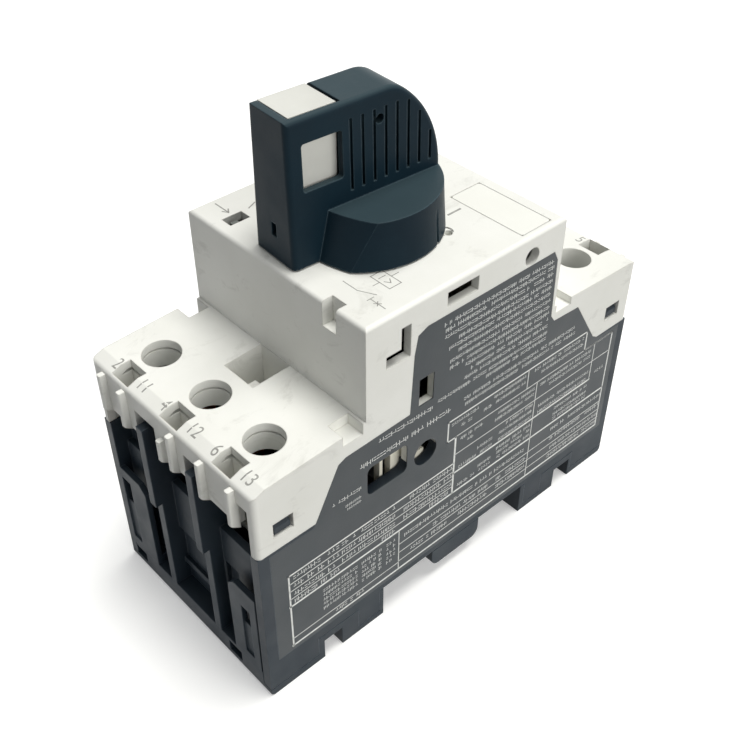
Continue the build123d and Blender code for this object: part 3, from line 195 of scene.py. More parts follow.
def moulded(name, face, drift, edge, roughness, edge_wear_and_highlight=0.5, grain=0.25, corner=0.3, gloss=0.5,
            stain="#000000", stained=0.0, top_highlight="#000000", top_highlight_amount=0.0,
            joins=(), joins_top=0.0):
    """Moulded plastic: slow drift of colour, a fine grain in mm, uneven sheen and an edge colour.

    The edge colour is partly worn by handling and partly painted light: where it is paler, it is a
    painted highlight along the edges. Stain is a smear of handling marks. The faces that look up are
    turned towards a paler colour, a painted highlight for the light from above. Joins are the planes,
    in mm along y and below joins_top, at which one real moulding is parted in the CAD: no edge is
    rounded or given the edge colour there."""
    material = bpy.data.materials.new(name)
    material.use_nodes = True
    tree = material.node_tree
    shader = tree.nodes["Principled BSDF"]
    where = add_node(tree, "ShaderNodeTexCoord").outputs["Object"]
    cloud = add_node(tree, "ShaderNodeTexNoise",
                     inputs={"Vector": where, "Scale": 1.0 / (DRIFT_SIZE * MM), "Detail": 5.0,
                             "Roughness": 0.6})
    cloud = add_node(tree, "ShaderNodeMapRange",
                     inputs={"Value": cloud.outputs[0], "From Min": 0.35, "From Max": 0.68})
    body = add_node(tree, "ShaderNodeMix", {"data_type": "RGBA"},
                    {0: cloud.outputs[0], 6: linear(face), 7: linear(drift)}).outputs[2]
    if stained:
        smear = add_node(tree, "ShaderNodeMapping", inputs={"Vector": where, "Scale": (1.0, 0.6, 1.4)})
        smear = add_node(tree, "ShaderNodeTexNoise",
                         inputs={"Vector": smear.outputs[0], "Scale": 1.0 / (SMEAR_SIZE * MM),
                                 "Detail": 6.0, "Roughness": 0.7, "Distortion": 0.6})
        smear = add_node(tree, "ShaderNodeMapRange",
                         inputs={"Value": smear.outputs[0], "From Min": 0.57, "From Max": 0.74,
                                 "To Max": stained})
        body = add_node(tree, "ShaderNodeMix", {"data_type": "RGBA"},
                        {0: smear.outputs[0], 6: body, 7: linear(stain)}).outputs[2]
    straight = add_node(tree, "ShaderNodeNewGeometry")
    # Faces that look up are turned towards a paler colour: a painted highlight for the light from above.
    if top_highlight_amount:
        facing = add_node(tree, "ShaderNodeSeparateXYZ", inputs={0: straight.outputs["Normal"]})
        lit_top = add_node(tree, "ShaderNodeMapRange",
                           inputs={"Value": facing.outputs["Z"], "From Min": 0.35, "From Max": 0.95,
                                   "To Max": top_highlight_amount})
        body = add_node(tree, "ShaderNodeMix", {"data_type": "RGBA"},
                        {0: lit_top.outputs[0], 6: body, 7: linear(top_highlight)}).outputs[2]
    rounded = add_node(tree, "ShaderNodeBevel", {"samples": 4}, {"Radius": corner * MM})
    normal = rounded.outputs[0]
    if joins:
        place = add_node(tree, "ShaderNodeSeparateXYZ", inputs={0: where})
        below = add_node(tree, "ShaderNodeMath", {"operation": "LESS_THAN"},
                         {0: place.outputs["Z"], 1: joins_top * MM}).outputs[0]
        for plane in joins:
            near = add_node(tree, "ShaderNodeMath", {"operation": "COMPARE"},
                            {0: place.outputs["Y"], 1: plane * MM, 2: JOIN_REACH * corner * MM})
            plain = add_node(tree, "ShaderNodeMath", {"operation": "MULTIPLY"},
                             {0: near.outputs[0], 1: below})
            normal = add_node(tree, "ShaderNodeMix", {"data_type": "VECTOR"},
                              {0: plain.outputs[0], 4: normal, 5: straight.outputs["Normal"]}).outputs[1]
    turn = add_node(tree, "ShaderNodeVectorMath", {"operation": "DOT_PRODUCT"},
                    {0: normal, 1: straight.outputs["Normal"]})
    edge_spots = add_node(tree, "ShaderNodeTexNoise",
                      inputs={"Vector": where, "Scale": 1.0 / (EDGE_SPOT_SIZE * MM), "Detail": 3.0})
    edge_spots = add_node(tree, "ShaderNodeMath", {"operation": "MULTIPLY"},
                      {0: edge_spots.outputs[0], 1: 2.0 * edge_wear_and_highlight})
    # The edges take the edge colour: partly worn by handling, partly a painted highlight along them.
    worn_and_lit_edge = add_node(tree, "ShaderNodeMapRange",
                    inputs={"Value": turn.outputs["Value"], "From Min": EDGE_MIX_BEGINS,
                            "From Max": EDGE_MIX_FULL, "To Max": edge_spots.outputs[0]})
    body = add_node(tree, "ShaderNodeMix", {"data_type": "RGBA"},
                    {0: worn_and_lit_edge.outputs[0], 6: body, 7: linear(edge)}).outputs[2]
    tree.links.new(body, shader.inputs["Base Color"])
    sheen = add_node(tree, "ShaderNodeTexNoise",
                     inputs={"Vector": where, "Scale": 1.0 / (SHEEN_SIZE * MM), "Detail": 4.0})
    sheen = add_node(tree, "ShaderNodeMapRange",
                     inputs={"Value": sheen.outputs[0], "From Min": 0.3, "From Max": 0.7,
                             "To Min": roughness - SHEEN_SPREAD, "To Max": roughness + SHEEN_SPREAD})
    tree.links.new(sheen.outputs[0], shader.inputs["Roughness"])
    pits = add_node(tree, "ShaderNodeTexNoise",
                    inputs={"Vector": where, "Scale": 1.0 / (grain * MM), "Detail": 2.0})
    relief = add_node(tree, "ShaderNodeBump",
                      inputs={"Strength": 0.35, "Distance": GRAIN_DEPTH * MM, "Height": pits.outputs[0],
                              "Normal": normal})
    tree.links.new(relief.outputs[0], shader.inputs["Normal"])
    shader.inputs["IOR"].default_value = 1.5
    shader.inputs["Specular IOR Level"].default_value = gloss
    return material


def finish_nodes(material, names):
    """Give the named CAD pieces one finish in place of the plain one that they load with."""
    for name in names:
        mesh = frame["nodes"][name].data
        mesh.materials.clear()
        mesh.materials.append(material)


base_nylon = moulded("moulded_dark_glass_filled_nylon", "#18212A", "#1F2931", "#4E5962", 0.52,
                     edge_wear_and_highlight=0.6, gloss=0.28)
finish_nodes(base_nylon, ["base_housing", "rail_base", "rail_latch"])


# Springs
# Three contact springs and the rail latch's spring: hard-drawn spring wire, wound cold on a mandrel.
# The bright wire is a little dulled by oil; each spring is a plain helix of even pitch.

# Size of a metal's dull patches and radius of its broken edges, in mm; a patch is rougher by the last.
PATCH_SIZE = 4.545
METAL_CORNER = 0.12
PATCH_SPREAD = 0.16


def drawn_metal(name, face, dull, roughness, stretch=(1.0, 1.0, 6.0), line=0.12, depth=0.01):
    """Rolled, drawn or plated metal: dull patches, and fine lines across the stretched axis.

    The lines are drawn 0.12 mm apart, coarser than real ones, so that they show."""
    material = bpy.data.materials.new(name)
    material.use_nodes = True
    tree = material.node_tree
    shader = tree.nodes["Principled BSDF"]
    where = add_node(tree, "ShaderNodeTexCoord").outputs["Object"]
    patch = add_node(tree, "ShaderNodeTexNoise",
                     inputs={"Vector": where, "Scale": 1.0 / (PATCH_SIZE * MM), "Detail": 5.0,
                             "Roughness": 0.65})
    patch = add_node(tree, "ShaderNodeMapRange",
                     inputs={"Value": patch.outputs[0], "From Min": 0.38, "From Max": 0.66})
    body = add_node(tree, "ShaderNodeMix", {"data_type": "RGBA"},
                    {0: patch.outputs[0], 6: linear(face), 7: linear(dull)})
    tree.links.new(body.outputs[2], shader.inputs["Base Color"])
    rough = add_node(tree, "ShaderNodeMapRange",
                     inputs={"Value": patch.outputs[0], "To Min": roughness,
                             "To Max": roughness + PATCH_SPREAD})
    tree.links.new(rough.outputs[0], shader.inputs["Roughness"])
    along = add_node(tree, "ShaderNodeMapping", inputs={"Vector": where, "Scale": stretch})
    lines = add_node(tree, "ShaderNodeTexNoise",
                     inputs={"Vector": along.outputs[0], "Scale": 1.0 / (line * MM), "Detail": 3.0})
    rounded = add_node(tree, "ShaderNodeBevel", {"samples": 4}, {"Radius": METAL_CORNER * MM})
    relief = add_node(tree, "ShaderNodeBump",
                      inputs={"Strength": 0.3, "Distance": depth * MM, "Height": lines.outputs[0],
                              "Normal": rounded.outputs[0]})
    tree.links.new(relief.outputs[0], shader.inputs["Normal"])
    shader.inputs["Metallic"].default_value = 1.0
    return material


def start_tree(name, sizes):
    """Open a Geometry Nodes tree whose inputs are a start mesh and the named sizes."""
    tree = bpy.data.node_groups.new(name, "GeometryNodeTree")
    tree.interface.new_socket("Geometry", in_out="INPUT", socket_type="NodeSocketGeometry")
    for size, kind in sizes.items():
        tree.interface.new_socket(size, in_out="INPUT", socket_type="NodeSocket" + kind)
    tree.interface.new_socket("Geometry", in_out="OUTPUT", socket_type="NodeSocketGeometry")
    return tree, tree.nodes.new("NodeGroupInput").outputs


def end_tree(tree, geometry, material):
    """Close a tree: real geometry in place of instances, with the piece's finish on it."""
    real = add_node(tree, "GeometryNodeRealizeInstances", inputs={0: geometry})
    done = add_node(tree, "GeometryNodeSetMaterial", inputs={0: real.outputs[0], "Material": material})
    add_node(tree, "NodeGroupOutput", inputs={0: done.outputs[0]})


def place_piece(name, mesh, body, replaced=()):
    """Add a finished mesh to the scene, riding on a body, and hide the CAD pieces that it stands for."""
    piece = bpy.data.objects.new(name, mesh)
    bpy.context.scene.collection.objects.link(piece)
    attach(piece, body)
    if replaced:
        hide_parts(*replaced)
    return piece


def grow(name, tree, sizes, start=None):
    """Run a tree once on a start mesh and give back its result as one plain mesh."""
    carrier = bpy.data.objects.new(name + "_start", start or bpy.data.meshes.new(name + "_start"))
    bpy.context.scene.collection.objects.link(carrier)
    modifier = carrier.modifiers.new("grow", "NODES")
    modifier.node_group = tree
    for item in tree.interface.items_tree:
        if item.item_type == "SOCKET" and item.in_out == "INPUT" and item.name in sizes:
            modifier[item.identifier] = sizes[item.name]
    bpy.context.view_layer.update()
    result = carrier.evaluated_get(bpy.context.evaluated_depsgraph_get())
    mesh = bpy.data.meshes.new_from_object(result)
    mesh.name = name
    carrier.modifiers.clear()
    bpy.data.objects.remove(carrier, do_unlink=True)
    return mesh


# Spring steel: the brightest of the steels, with fine drawing lines.
spring_wire = drawn_metal("drawn_spring_steel", "#B9B7B0", "#8E8C86", 0.26)
tree, size = start_tree("coil_spring", {"Turns": "Float", "Radius": "Float", "Height": "Float",
                                        "Wire": "Float", "Lie": "Vector"})
helix = add_node(tree, "GeometryNodeCurveSpiral",
                 inputs={"Resolution": 28, "Rotations": size["Turns"], "Start Radius": size["Radius"],
                         "End Radius": size["Radius"], "Height": size["Height"]})
wire = add_node(tree, "GeometryNodeCurvePrimitiveCircle",
                inputs={"Resolution": 8, "Radius": size["Wire"]})
coil = add_node(tree, "GeometryNodeCurveToMesh",
                inputs={"Curve": helix.outputs[0], "Profile Curve": wire.outputs[0], "Fill Caps": True})
smooth = add_node(tree, "GeometryNodeSetShadeSmooth", inputs={0: coil.outputs[0]})
spread = add_node(tree, "GeometryNodeInstanceOnPoints",
                  inputs={"Points": size["Geometry"], "Instance": smooth.outputs[0],
                          "Rotation": size["Lie"]})
end_tree(tree, spread.outputs[0], spring_wire)
# Each spring's CAD piece, body and places (x, y); its turns, radius, wire radius and height; how high
# its axis starts above the CAD piece's low side; and its lie. Sizes are in mm.
SPRINGS = (("contact_springs", "contact_set", [(-14.2, 14.0), (0.0, 14.0), (14.2, 14.0)],
            5.5, 1.80, 0.28, 6.09, 0.28, (0.0, 0.0, 0.0)),
           ("rail_latch_spring", "housing", [(0.0, -29.25)],
            9.0, 1.05, 0.22, 11.4, 1.3, (math.pi / 2, 0.0, 0.0)))
for name, body, spots, turns, radius, wire_radius, height, lift, lie in SPRINGS:
    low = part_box(name)[0].z
    start = bpy.data.meshes.new(name + "_start")
    start.from_pydata([(x * MM, y * MM, low + lift * MM) for x, y in spots], [], [])
    mesh = grow(name + "_wound", tree,
                {"Turns": turns, "Radius": radius * MM, "Height": height * MM,
                 "Wire": wire_radius * MM, "Lie": lie}, start)
    place_piece(name + "_wound", mesh, body, [name])

# Magnetic releases, contacts and mechanism
# Copper bars and coils, silver contacts, plated steel yokes, splitter plates and levers.
# All stamped, bent and pressed home in the base before the cover closes over them.

# Copper: warm and bright, gone brown in patches.
finish_nodes(drawn_metal("rolled_copper", "#C77B58", "#A9674A", 0.30),
             ["contact_bridges", "line_busbars", "inner_busbars", "load_busbars", "magnet_coils"])
# Silver alloy: the whitest metal here, with a soft shine.
finish_nodes(drawn_metal("pressed_silver_alloy", "#D9D6CF", "#B4B0A6", 0.34), ["fixed_contacts"])
# Zinc on steel: an even cool grey, finely lined.
finish_nodes(drawn_metal("zinc_plated_sheet_steel", "#A9ABAB", "#8C8E8D", 0.36),
             ["mechanism_plates", "mechanism_pins", "rocker_lever", "trip_latch", "arc_chutes",
              "magnet_yokes", "magnet_plunger_1", "magnet_plunger_2", "magnet_plunger_3"])
# Bimetal: duller and browner than the steels around it.
finish_nodes(drawn_metal("rolled_bimetal", "#A39C90", "#8A8276", 0.38), ["bimetal_strips"])
# Glass sleeve: off-white and quite matt, with a coarse grain like a weave.
finish_nodes(moulded("woven_glass_sleeve", "#D8D2C0", "#C6BFAB", "#E4DFD0", 0.72, grain=0.6, edge_wear_and_highlight=0.3),
             ["heater_windings"])

# Inner mouldings
# Switch shaft, contact carrier, bobbins and trip bar: black thermoset and nylon, matt and plain.
# They are pressed or snapped in, and seen only as dark shapes deep in the openings.

# Thermoset: nearly black, with only a faintly paler edge, partly worn and partly a painted highlight.
finish_nodes(moulded("moulded_black_thermoset", "#1B1D1F", "#232628", "#3C3F41", 0.55, edge_wear_and_highlight=0.35,
                     gloss=0.4),
             ["switch_shaft", "contact_carrier", "coil_bobbins", "trip_bar"])

# Terminals
# Six box clamps of zinc-plated steel, each drawn up by a combination-head screw from above.
# The plating is bright on the screws and milkier on the clamps, with fine lines and dull patches.

# Bright zinc: light and cool, so that a screw glints at the bottom of its hole.
finish_nodes(drawn_metal("bright_zinc_plated_steel", "#C3C5C4", "#9FA2A2", 0.30, line=0.2),
             ["terminal_screw_%d" % n for n in range(1, 7)])
# Milky zinc: flatter and a little yellower, as on a part plated in a barrel.
finish_nodes(drawn_metal("milky_zinc_plated_steel", "#B4B6B4", "#94978F", 0.38,
                         stretch=(6.0, 1.0, 1.0)),
             ["terminal_clamp_%d" % n for n in range(1, 7)])

# Light cover
# The upper half: one flame-retardant polyamide moulding in warm light grey, clipped on the base.
# Its satin grain holds faint grey smears from handling, and its edges are drawn a little darker.

# Light grey polyamide: nearly white where it is lit. No edge shows where the CAD parts the moulding.
cover_nylon = moulded("moulded_light_grey_polyamide", "#E9E9E4", "#E2E2DC", "#CDC9BE", 0.50,
                      edge_wear_and_highlight=0.45, gloss=0.40, stain="#A9A8A0", stained=0.40,
                      joins=(-23.7, 22.1), joins_top=52.5)
finish_nodes(cover_nylon, ["front_cover", "terminal_cover_load", "terminal_cover_line"])

# Links and test lever
# Small slides behind the cover's windows: an ivory switch link, an olive trip link, a grey lever.
# Acetal and nylon mouldings, left in the colour they are supplied in so that each is told apart.

# Acetal: a dense, warm white with a soft sheen.
finish_nodes(moulded("moulded_ivory_acetal", "#EDEADB", "#E3DFCF", "#F4F2E8", 0.42, edge_wear_and_highlight=0.3),
             ["switch_link"])
# Dyed nylon: flat olive and stone grey, a little duller than the acetal.
finish_nodes(moulded("moulded_olive_nylon", "#7A7D42", "#6C6F3A", "#94975C", 0.48, edge_wear_and_highlight=0.3),
             ["trip_link"])
finish_nodes(moulded("moulded_stone_grey_nylon", "#6A6E6A", "#5F635F", "#868A86", 0.48, edge_wear_and_highlight=0.3),
             ["test_lever"])

# Rotary handle and its lock slide
# The handle is blue-black nylon, hollow and ribbed inside, paler along its edges: partly polished
# by fingers, partly a painted highlight.
# The pale slide inside it is plain grey nylon, free to be pulled up for a padlock.

# Blue-black nylon: deep and cool, with paler edges, partly worn and partly a painted highlight.
# Its faces that look up are made paler too: a painted highlight for the light from above.
finish_nodes(moulded("moulded_blue_black_nylon", "#0C1D27", "#11242E", "#4C5F68", 0.40, edge_wear_and_highlight=0.6,
                     corner=0.35, gloss=0.08, top_highlight="#4A5B60", top_highlight_amount=0.42), ["rotary_handle"])
# Light grey nylon: plain and satin, so that the slide stands out from the dark handle.
finish_nodes(moulded("moulded_light_grey_nylon", "#D6D6D0", "#CBCBC5", "#E2E2DD", 0.50, edge_wear_and_highlight=0.3),
             ["handle_lock_slide"])

# Setting dial and marking plate
# A white acetal dial with a slot for a screwdriver, and a blank white plate to write on.
# The dial turns in its hole; the plate clicks in the front of the cover.

# White acetal: clean, dense and slightly glossy.
finish_nodes(moulded("moulded_white_acetal", "#E9E8E2", "#DFDED7", "#F2F1EC", 0.40, edge_wear_and_highlight=0.3),
             ["setting_dial"])
# The plate's face is fine and matt, to take a pen.
finish_nodes(moulded("matt_white_plate", "#E9E9E3", "#E4E4DD", "#F0F0EC", 0.55, edge_wear_and_highlight=0.2,
                     grain=0.15), ["marking_plate"])


# Printed marks on the cover
# Plain numbers at the terminals, a ring and a bar by the handle, an arrow, trip and switch symbols.
# Pad-printed in thin grey ink, so the print is slightly uneven and follows the moulding's face.

# Height of the ink over the face under it, size of its thin spots and depth of its unevenness, in mm.
INK_LIFT = 0.006
THIN_SIZE = 1.111
INK_DEPTH = 0.01
# How much rougher the ink is where it is thin.
THIN_SPREAD = 0.2


def ink(name, face, thin, roughness=0.55):
    """Printing ink: a colour that is thinner in places, and a dry, slightly uneven surface."""
    material = bpy.data.materials.new(name)
    material.use_nodes = True
    tree = material.node_tree
    shader = tree.nodes["Principled BSDF"]
    where = add_node(tree, "ShaderNodeTexCoord").outputs["Object"]
    worn = add_node(tree, "ShaderNodeTexNoise",
                    inputs={"Vector": where, "Scale": 1.0 / (THIN_SIZE * MM), "Detail": 4.0,
                            "Roughness": 0.7})
    worn = add_node(tree, "ShaderNodeMapRange",
                    inputs={"Value": worn.outputs[0], "From Min": 0.4, "From Max": 0.7})
    body = add_node(tree, "ShaderNodeMix", {"data_type": "RGBA"},
                    {0: worn.outputs[0], 6: linear(face), 7: linear(thin)})
    tree.links.new(body.outputs[2], shader.inputs["Base Color"])
    dry = add_node(tree, "ShaderNodeMapRange",
                   inputs={"Value": worn.outputs[0], "To Min": roughness, "To Max": roughness + THIN_SPREAD})
    tree.links.new(dry.outputs[0], shader.inputs["Roughness"])
    relief = add_node(tree, "ShaderNodeBump",
                      inputs={"Strength": 0.2, "Distance": INK_DEPTH * MM, "Height": worn.outputs[0]})
    tree.links.new(relief.outputs[0], shader.inputs["Normal"])
    return material


def strokes(form, lines, width):
    """Add flat strokes to a bmesh, each from one point to another in mm, facing up."""
    for x0, y0, x1, y1 in lines:
        along = Vector((x1 - x0, y1 - y0, 0.0)).normalized() * width / 2
        side = Vector((-along.y, along.x, 0.0))
        ends = (Vector((x0, y0, 0.0)) - along, Vector((x1, y1, 0.0)) + along)
        corners = (ends[0] - side, ends[1] - side, ends[1] + side, ends[0] + side)
        form.faces.new([form.verts.new(c) for c in corners])


NUMBER_HEIGHT = 2.3
NUMBER_NARROWING = 0.86


def number_form(text, centre_x, low_y, height):
    """A plain number as a flat mesh form in mm, standing on a line in the cover's face."""
    curve = bpy.data.curves.new("number", "FONT")
    curve.body = text
    curve.align_x = "CENTER"
    holder = bpy.data.objects.new("number", curve)
    bpy.context.scene.collection.objects.link(holder)
    mesh = bpy.data.meshes.new_from_object(
        holder.evaluated_get(bpy.context.evaluated_depsgraph_get()))
    bpy.data.objects.remove(holder, do_unlink=True)
    form = bmesh.new()
    form.from_mesh(mesh)
    top = max(v.co.y for v in form.verts)
    bmesh.ops.scale(form, vec=(NUMBER_NARROWING * height / top, height / top, 1.0), verts=form.verts)
    bmesh.ops.translate(form, vec=(centre_x, low_y, 0.0), verts=form.verts)
    return form


# Width in mm of the bands that let a print follow a curved face, and a height in metres above it all.
BAND = 0.3
OVERHEAD = 0.2


def lay_on(form, node, name):
    """Cut a flat form into narrow bands and lower it on a CAD piece's upper face, in metres."""
    low = min(v.co.y for v in form.verts)
    high = max(v.co.y for v in form.verts)
    for step in range(1, int((high - low) / BAND) + 1):
        bmesh.ops.bisect_plane(form, geom=form.verts[:] + form.edges[:] + form.faces[:],
                               plane_co=(0.0, low + step * BAND, 0.0), plane_no=(0.0, 1.0, 0.0))
    bmesh.ops.triangulate(form, faces=form.faces[:])
    under = BVHTree.FromObject(frame["nodes"][node], bpy.context.evaluated_depsgraph_get())
    for vert in form.verts:
        at = Vector((vert.co.x * MM, vert.co.y * MM, OVERHEAD))
        hit = under.ray_cast(at, Vector((0.0, 0.0, -1.0)))[0]
        vert.co = Vector((at.x, at.y, hit.z + INK_LIFT * MM))
    for face in form.faces:
        if face.normal.z < 0.0:
            face.normal_flip()
    form.normal_update()
    mesh = bpy.data.meshes.new(name)
    form.to_mesh(mesh)
    form.free()
    return mesh


# Grey ink: mid grey, a little washed out where it is thin.
grey_ink = ink("grey_pad_print", "#8A8A86", "#A6A6A0")
# Each number, its middle along x, its foot along y and the piece that it is printed on.
NUMBERS = (("2", -17.4, -45.25, "terminal_cover_load"),
           ("11", -9.5, -45.15, "terminal_cover_load"),
           ("4", -3.25, -45.25, "terminal_cover_load"),
           ("12", 4.85, -45.15, "terminal_cover_load"),
           ("6", 10.75, -45.25, "terminal_cover_load"),
           ("13", 18.85, -45.15, "terminal_cover_load"),
           ("1", -17.4, 43.0, "terminal_cover_line"),
           ("3", -3.25, 43.0, "terminal_cover_line"),
           ("5", 10.75, 43.0, "terminal_cover_line"))
for text, x, y, node in NUMBERS:
    mesh = lay_on(number_form(text, x, y, NUMBER_HEIGHT), node, "number_" + text)
    mesh.materials.append(grey_ink)
    place_piece("number_" + text, mesh, "housing")

# Widths of the strokes: thin for the symbols, bold for the ring and bar, and the arrow between.
SYMBOL_LINE = 0.17
BOLD_LINE = 0.42
ARROW_LINE = 0.26
form = bmesh.new()
# The trip symbol: a box with its leads and the sign in it.
strokes(form, [(12.85, -11.45, 17.25, -11.45), (17.25, -11.45, 17.25, -13.95),
               (17.25, -13.95, 12.85, -13.95), (12.85, -13.95, 12.85, -11.45),
               (14.95, -9.9, 14.95, -11.4), (14.95, -14.0, 14.95, -15.3),
               (14.15, -12.0, 14.15, -13.4), (15.3, -12.1, 16.2, -12.7), (16.2, -12.7, 15.3, -13.3)],
        SYMBOL_LINE)
# The switch symbol: a lead, the open arm, the other contact and a cross.
strokes(form, [(10.9, -17.9, 14.2, -17.9), (14.2, -17.9, 17.0, -16.5), (17.15, -17.2, 17.15, -18.5),
               (17.15, -17.9, 20.5, -17.9), (18.4, -17.5, 19.2, -18.3), (18.4, -18.3, 19.2, -17.5)],
        SYMBOL_LINE)
# The bar, then the arrow to the test slot with a short stroke by its other end, then the ring.
strokes(form, [(8.45, 7.9, 8.45, 10.7)], BOLD_LINE)
strokes(form, [(-20.9, -19.1, -17.2, -19.1), (-18.1, -18.5, -17.2, -19.1), (-18.1, -19.7, -17.2, -19.1),
               (-16.8, -13.8, -16.0, -15.7)], ARROW_LINE)
RING_X, RING_Y, RING_RADIUS = 11.7, 3.9, 1.15
RING_STEPS = 20
angles = [2 * math.pi * n / RING_STEPS for n in range(RING_STEPS + 1)]
ring = [(RING_X + RING_RADIUS * math.cos(a), RING_Y + RING_RADIUS * math.sin(a)) for a in angles]
strokes(form, [here + there for here, there in zip(ring, ring[1:])], BOLD_LINE)
mesh = lay_on(form, "front_cover", "cover_symbols")
mesh.materials.append(grey_ink)
place_piece("cover_symbols", mesh, "housing")

# Scale round the dial
# Eleven short ticks, printed on the cover in the same grey ink.
# They stand on an arc of 280 degrees, a little over three quarters of a turn.
DIAL_X, DIAL_Y = -14.5, 13.0
TICKS = 11
FIRST_TICK = math.radians(-50)
TICK_STEP = math.radians(28)
TICK_RADIUS = 6.35
TICK_LONG = 0.9
TICK_WIDE = 0.18
tree, size = start_tree("dial_ticks", {"Count": "Int", "Radius": "Float", "Long": "Float",
                                       "Wide": "Float", "First": "Float", "Step": "Float"})
index = add_node(tree, "GeometryNodeInputIndex")
turn = add_node(tree, "ShaderNodeMath", {"operation": "MULTIPLY_ADD"},
                {0: index.outputs[0], 1: size["Step"], 2: size["First"]})
across = add_node(tree, "ShaderNodeMath", {"operation": "COSINE"}, {0: turn.outputs[0]})
along = add_node(tree, "ShaderNodeMath", {"operation": "SINE"}, {0: turn.outputs[0]})
spot = add_node(tree, "ShaderNodeCombineXYZ", inputs={"X": across.outputs[0], "Y": along.outputs[0]})
spot = add_node(tree, "ShaderNodeVectorMath", {"operation": "SCALE"},
                {0: spot.outputs[0], "Scale": size["Radius"]})
points = add_node(tree, "GeometryNodePoints",
                  inputs={"Count": size["Count"], "Position": spot.outputs[0]})
bar = add_node(tree, "GeometryNodeMeshGrid",
               inputs={"Size X": size["Long"], "Size Y": size["Wide"], "Vertices X": 2, "Vertices Y": 2})
lean = add_node(tree, "ShaderNodeCombineXYZ", inputs={"Z": turn.outputs[0]})
spread = add_node(tree, "GeometryNodeInstanceOnPoints",
                  inputs={"Points": points.outputs[0], "Instance": bar.outputs[0],
                          "Rotation": lean.outputs[0]})
end_tree(tree, spread.outputs[0], grey_ink)
mesh = grow("dial_ticks", tree, {"Count": TICKS, "Radius": TICK_RADIUS, "Long": TICK_LONG,
                                 "Wide": TICK_WIDE, "First": FIRST_TICK, "Step": TICK_STEP})
form = bmesh.new()
form.from_mesh(mesh)
bmesh.ops.translate(form, vec=(DIAL_X, DIAL_Y, 0.0), verts=form.verts)
mesh = lay_on(form, "front_cover", "dial_ticks")
mesh.materials.append(grey_ink)
place_piece("dial_ticks", mesh, "housing")

# Side label
# A dark self-adhesive film on the right side wall, printed white with a ruled table.
# The film is satin and hardly thicker than paper; its small text is given as plain marks.

# Polyester film: dark slate, smoother than the base beside it, so that it lies apart from it.
label_film = moulded("dark_polyester_film", "#252C31", "#2C3338", "#485054", 0.38, edge_wear_and_highlight=0.2,
                     grain=0.5, corner=0.1, gloss=0.36)
finish_nodes(label_film, ["side_label"])
# White ink: a bright, dry white, slightly greyed where it is thin.
white_ink = ink("white_screen_print", "#EDEEEB", "#D3D5D2")
FILM_FACE = 22.5
PRINT_FACE = FILM_FACE + INK_LIFT
form = bmesh.new()
# Each line of the tables as y0, z0, y1, z1, by width: thin, outer and thick.
for width, lines in (
        (0.20, [(-40.9, 26.7, -2.2, 26.7), (-40.9, 24.8, -2.2, 24.8), (-40.9, 22.8, -2.2, 22.8),
                (-15.7, 10.2, -15.7, 20.6), (-41.0, 12.0, -15.7, 12.0), (-2.0, 35.6, 42.7, 35.6),
                (-2.0, 31.0, 42.7, 31.0), (-15.7, 17.0, 43.0, 17.0), (-15.7, 14.7, 43.0, 14.7),
                (-15.7, 12.3, 43.0, 12.3), (17.0, 35.7, 17.0, 40.3), (20.0, 10.5, 20.0, 35.5),
                (37.3, 26.2, 37.3, 35.6)]),
        (0.34, [(-40.9, 9.9, -40.9, 28.9), (-40.9, 28.9, -2.2, 28.9), (-4.2, 40.3, 34.0, 40.3),
                (-4.2, 35.5, -4.2, 40.3), (-4.2, 35.5, -2.1, 35.5), (34.0, 35.6, 34.0, 40.3),
                (34.0, 35.6, 42.8, 35.6), (42.8, 10.3, 42.8, 35.6)]),
        (0.45, [(-41.0, 20.9, 42.8, 20.9), (-41.0, 10.1, 42.8, 10.1), (-2.1, 21.0, -2.1, 35.5),
                (-2.0, 26.2, 37.3, 26.2)])):
    strokes(form, lines, width)
# Printed from the drawing plane (y across, z up) on to the film's face.
for vert in form.verts:
    vert.co = Vector((PRINT_FACE, vert.co.x, vert.co.y)) * MM
for face in form.faces:
    face.normal_update()
    if face.normal.x < 0.0:
        face.normal_flip()
mesh = bpy.data.meshes.new("label_table")
form.to_mesh(mesh)
form.free()
mesh.materials.append(white_ink)
place_piece("label_table", mesh, "housing")

# Four marks of two separate strokes each, in a box one high: none is a letter.
MARKS = (((0.0, 0.0, 0.0, 0.8), (0.2, 0.35, 0.4, 0.35)),
         ((0.0, 0.15, 0.4, 0.15), (0.0, 0.65, 0.4, 0.65)),
         ((0.0, 0.0, 0.0, 0.7), (0.35, 0.2, 0.35, 0.7)),
         ((0.0, 0.3, 0.4, 0.3), (0.2, 0.55, 0.2, 0.8)))
MARK_LINE = 0.13
# Pitch of the marks in letter heights, the share of them that is printed, and the seeds of the draws.
MARK_PITCH = 0.60
KEPT_MARKS = 0.92
KEPT_SEED = 7
PICK_SEED = 3
tree, size = start_tree("small_print", {"Pitch": "Float", "Kept": "Float"})
tall = add_node(tree, "GeometryNodeInputNamedAttribute", {"data_type": "FLOAT"}, {"Name": "tall"})
rows = add_node(tree, "GeometryNodeMeshToCurve", inputs={0: size["Geometry"]})
gap = add_node(tree, "ShaderNodeMath", {"operation": "MULTIPLY"},
               {0: tall.outputs["Attribute"], 1: size["Pitch"]})
beads = add_node(tree, "GeometryNodeResampleCurve", {"mode": "LENGTH"},
                 {"Curve": rows.outputs[0], "Length": gap.outputs[0]})
kept = add_node(tree, "FunctionNodeRandomValue", {"data_type": "BOOLEAN"},
                {"Probability": size["Kept"], "Seed": KEPT_SEED})
pick = add_node(tree, "FunctionNodeRandomValue", {"data_type": "INT"},
                {4: 0, 5: len(MARKS) - 1, "Seed": PICK_SEED})
marks = add_node(tree, "GeometryNodeJoinGeometry")
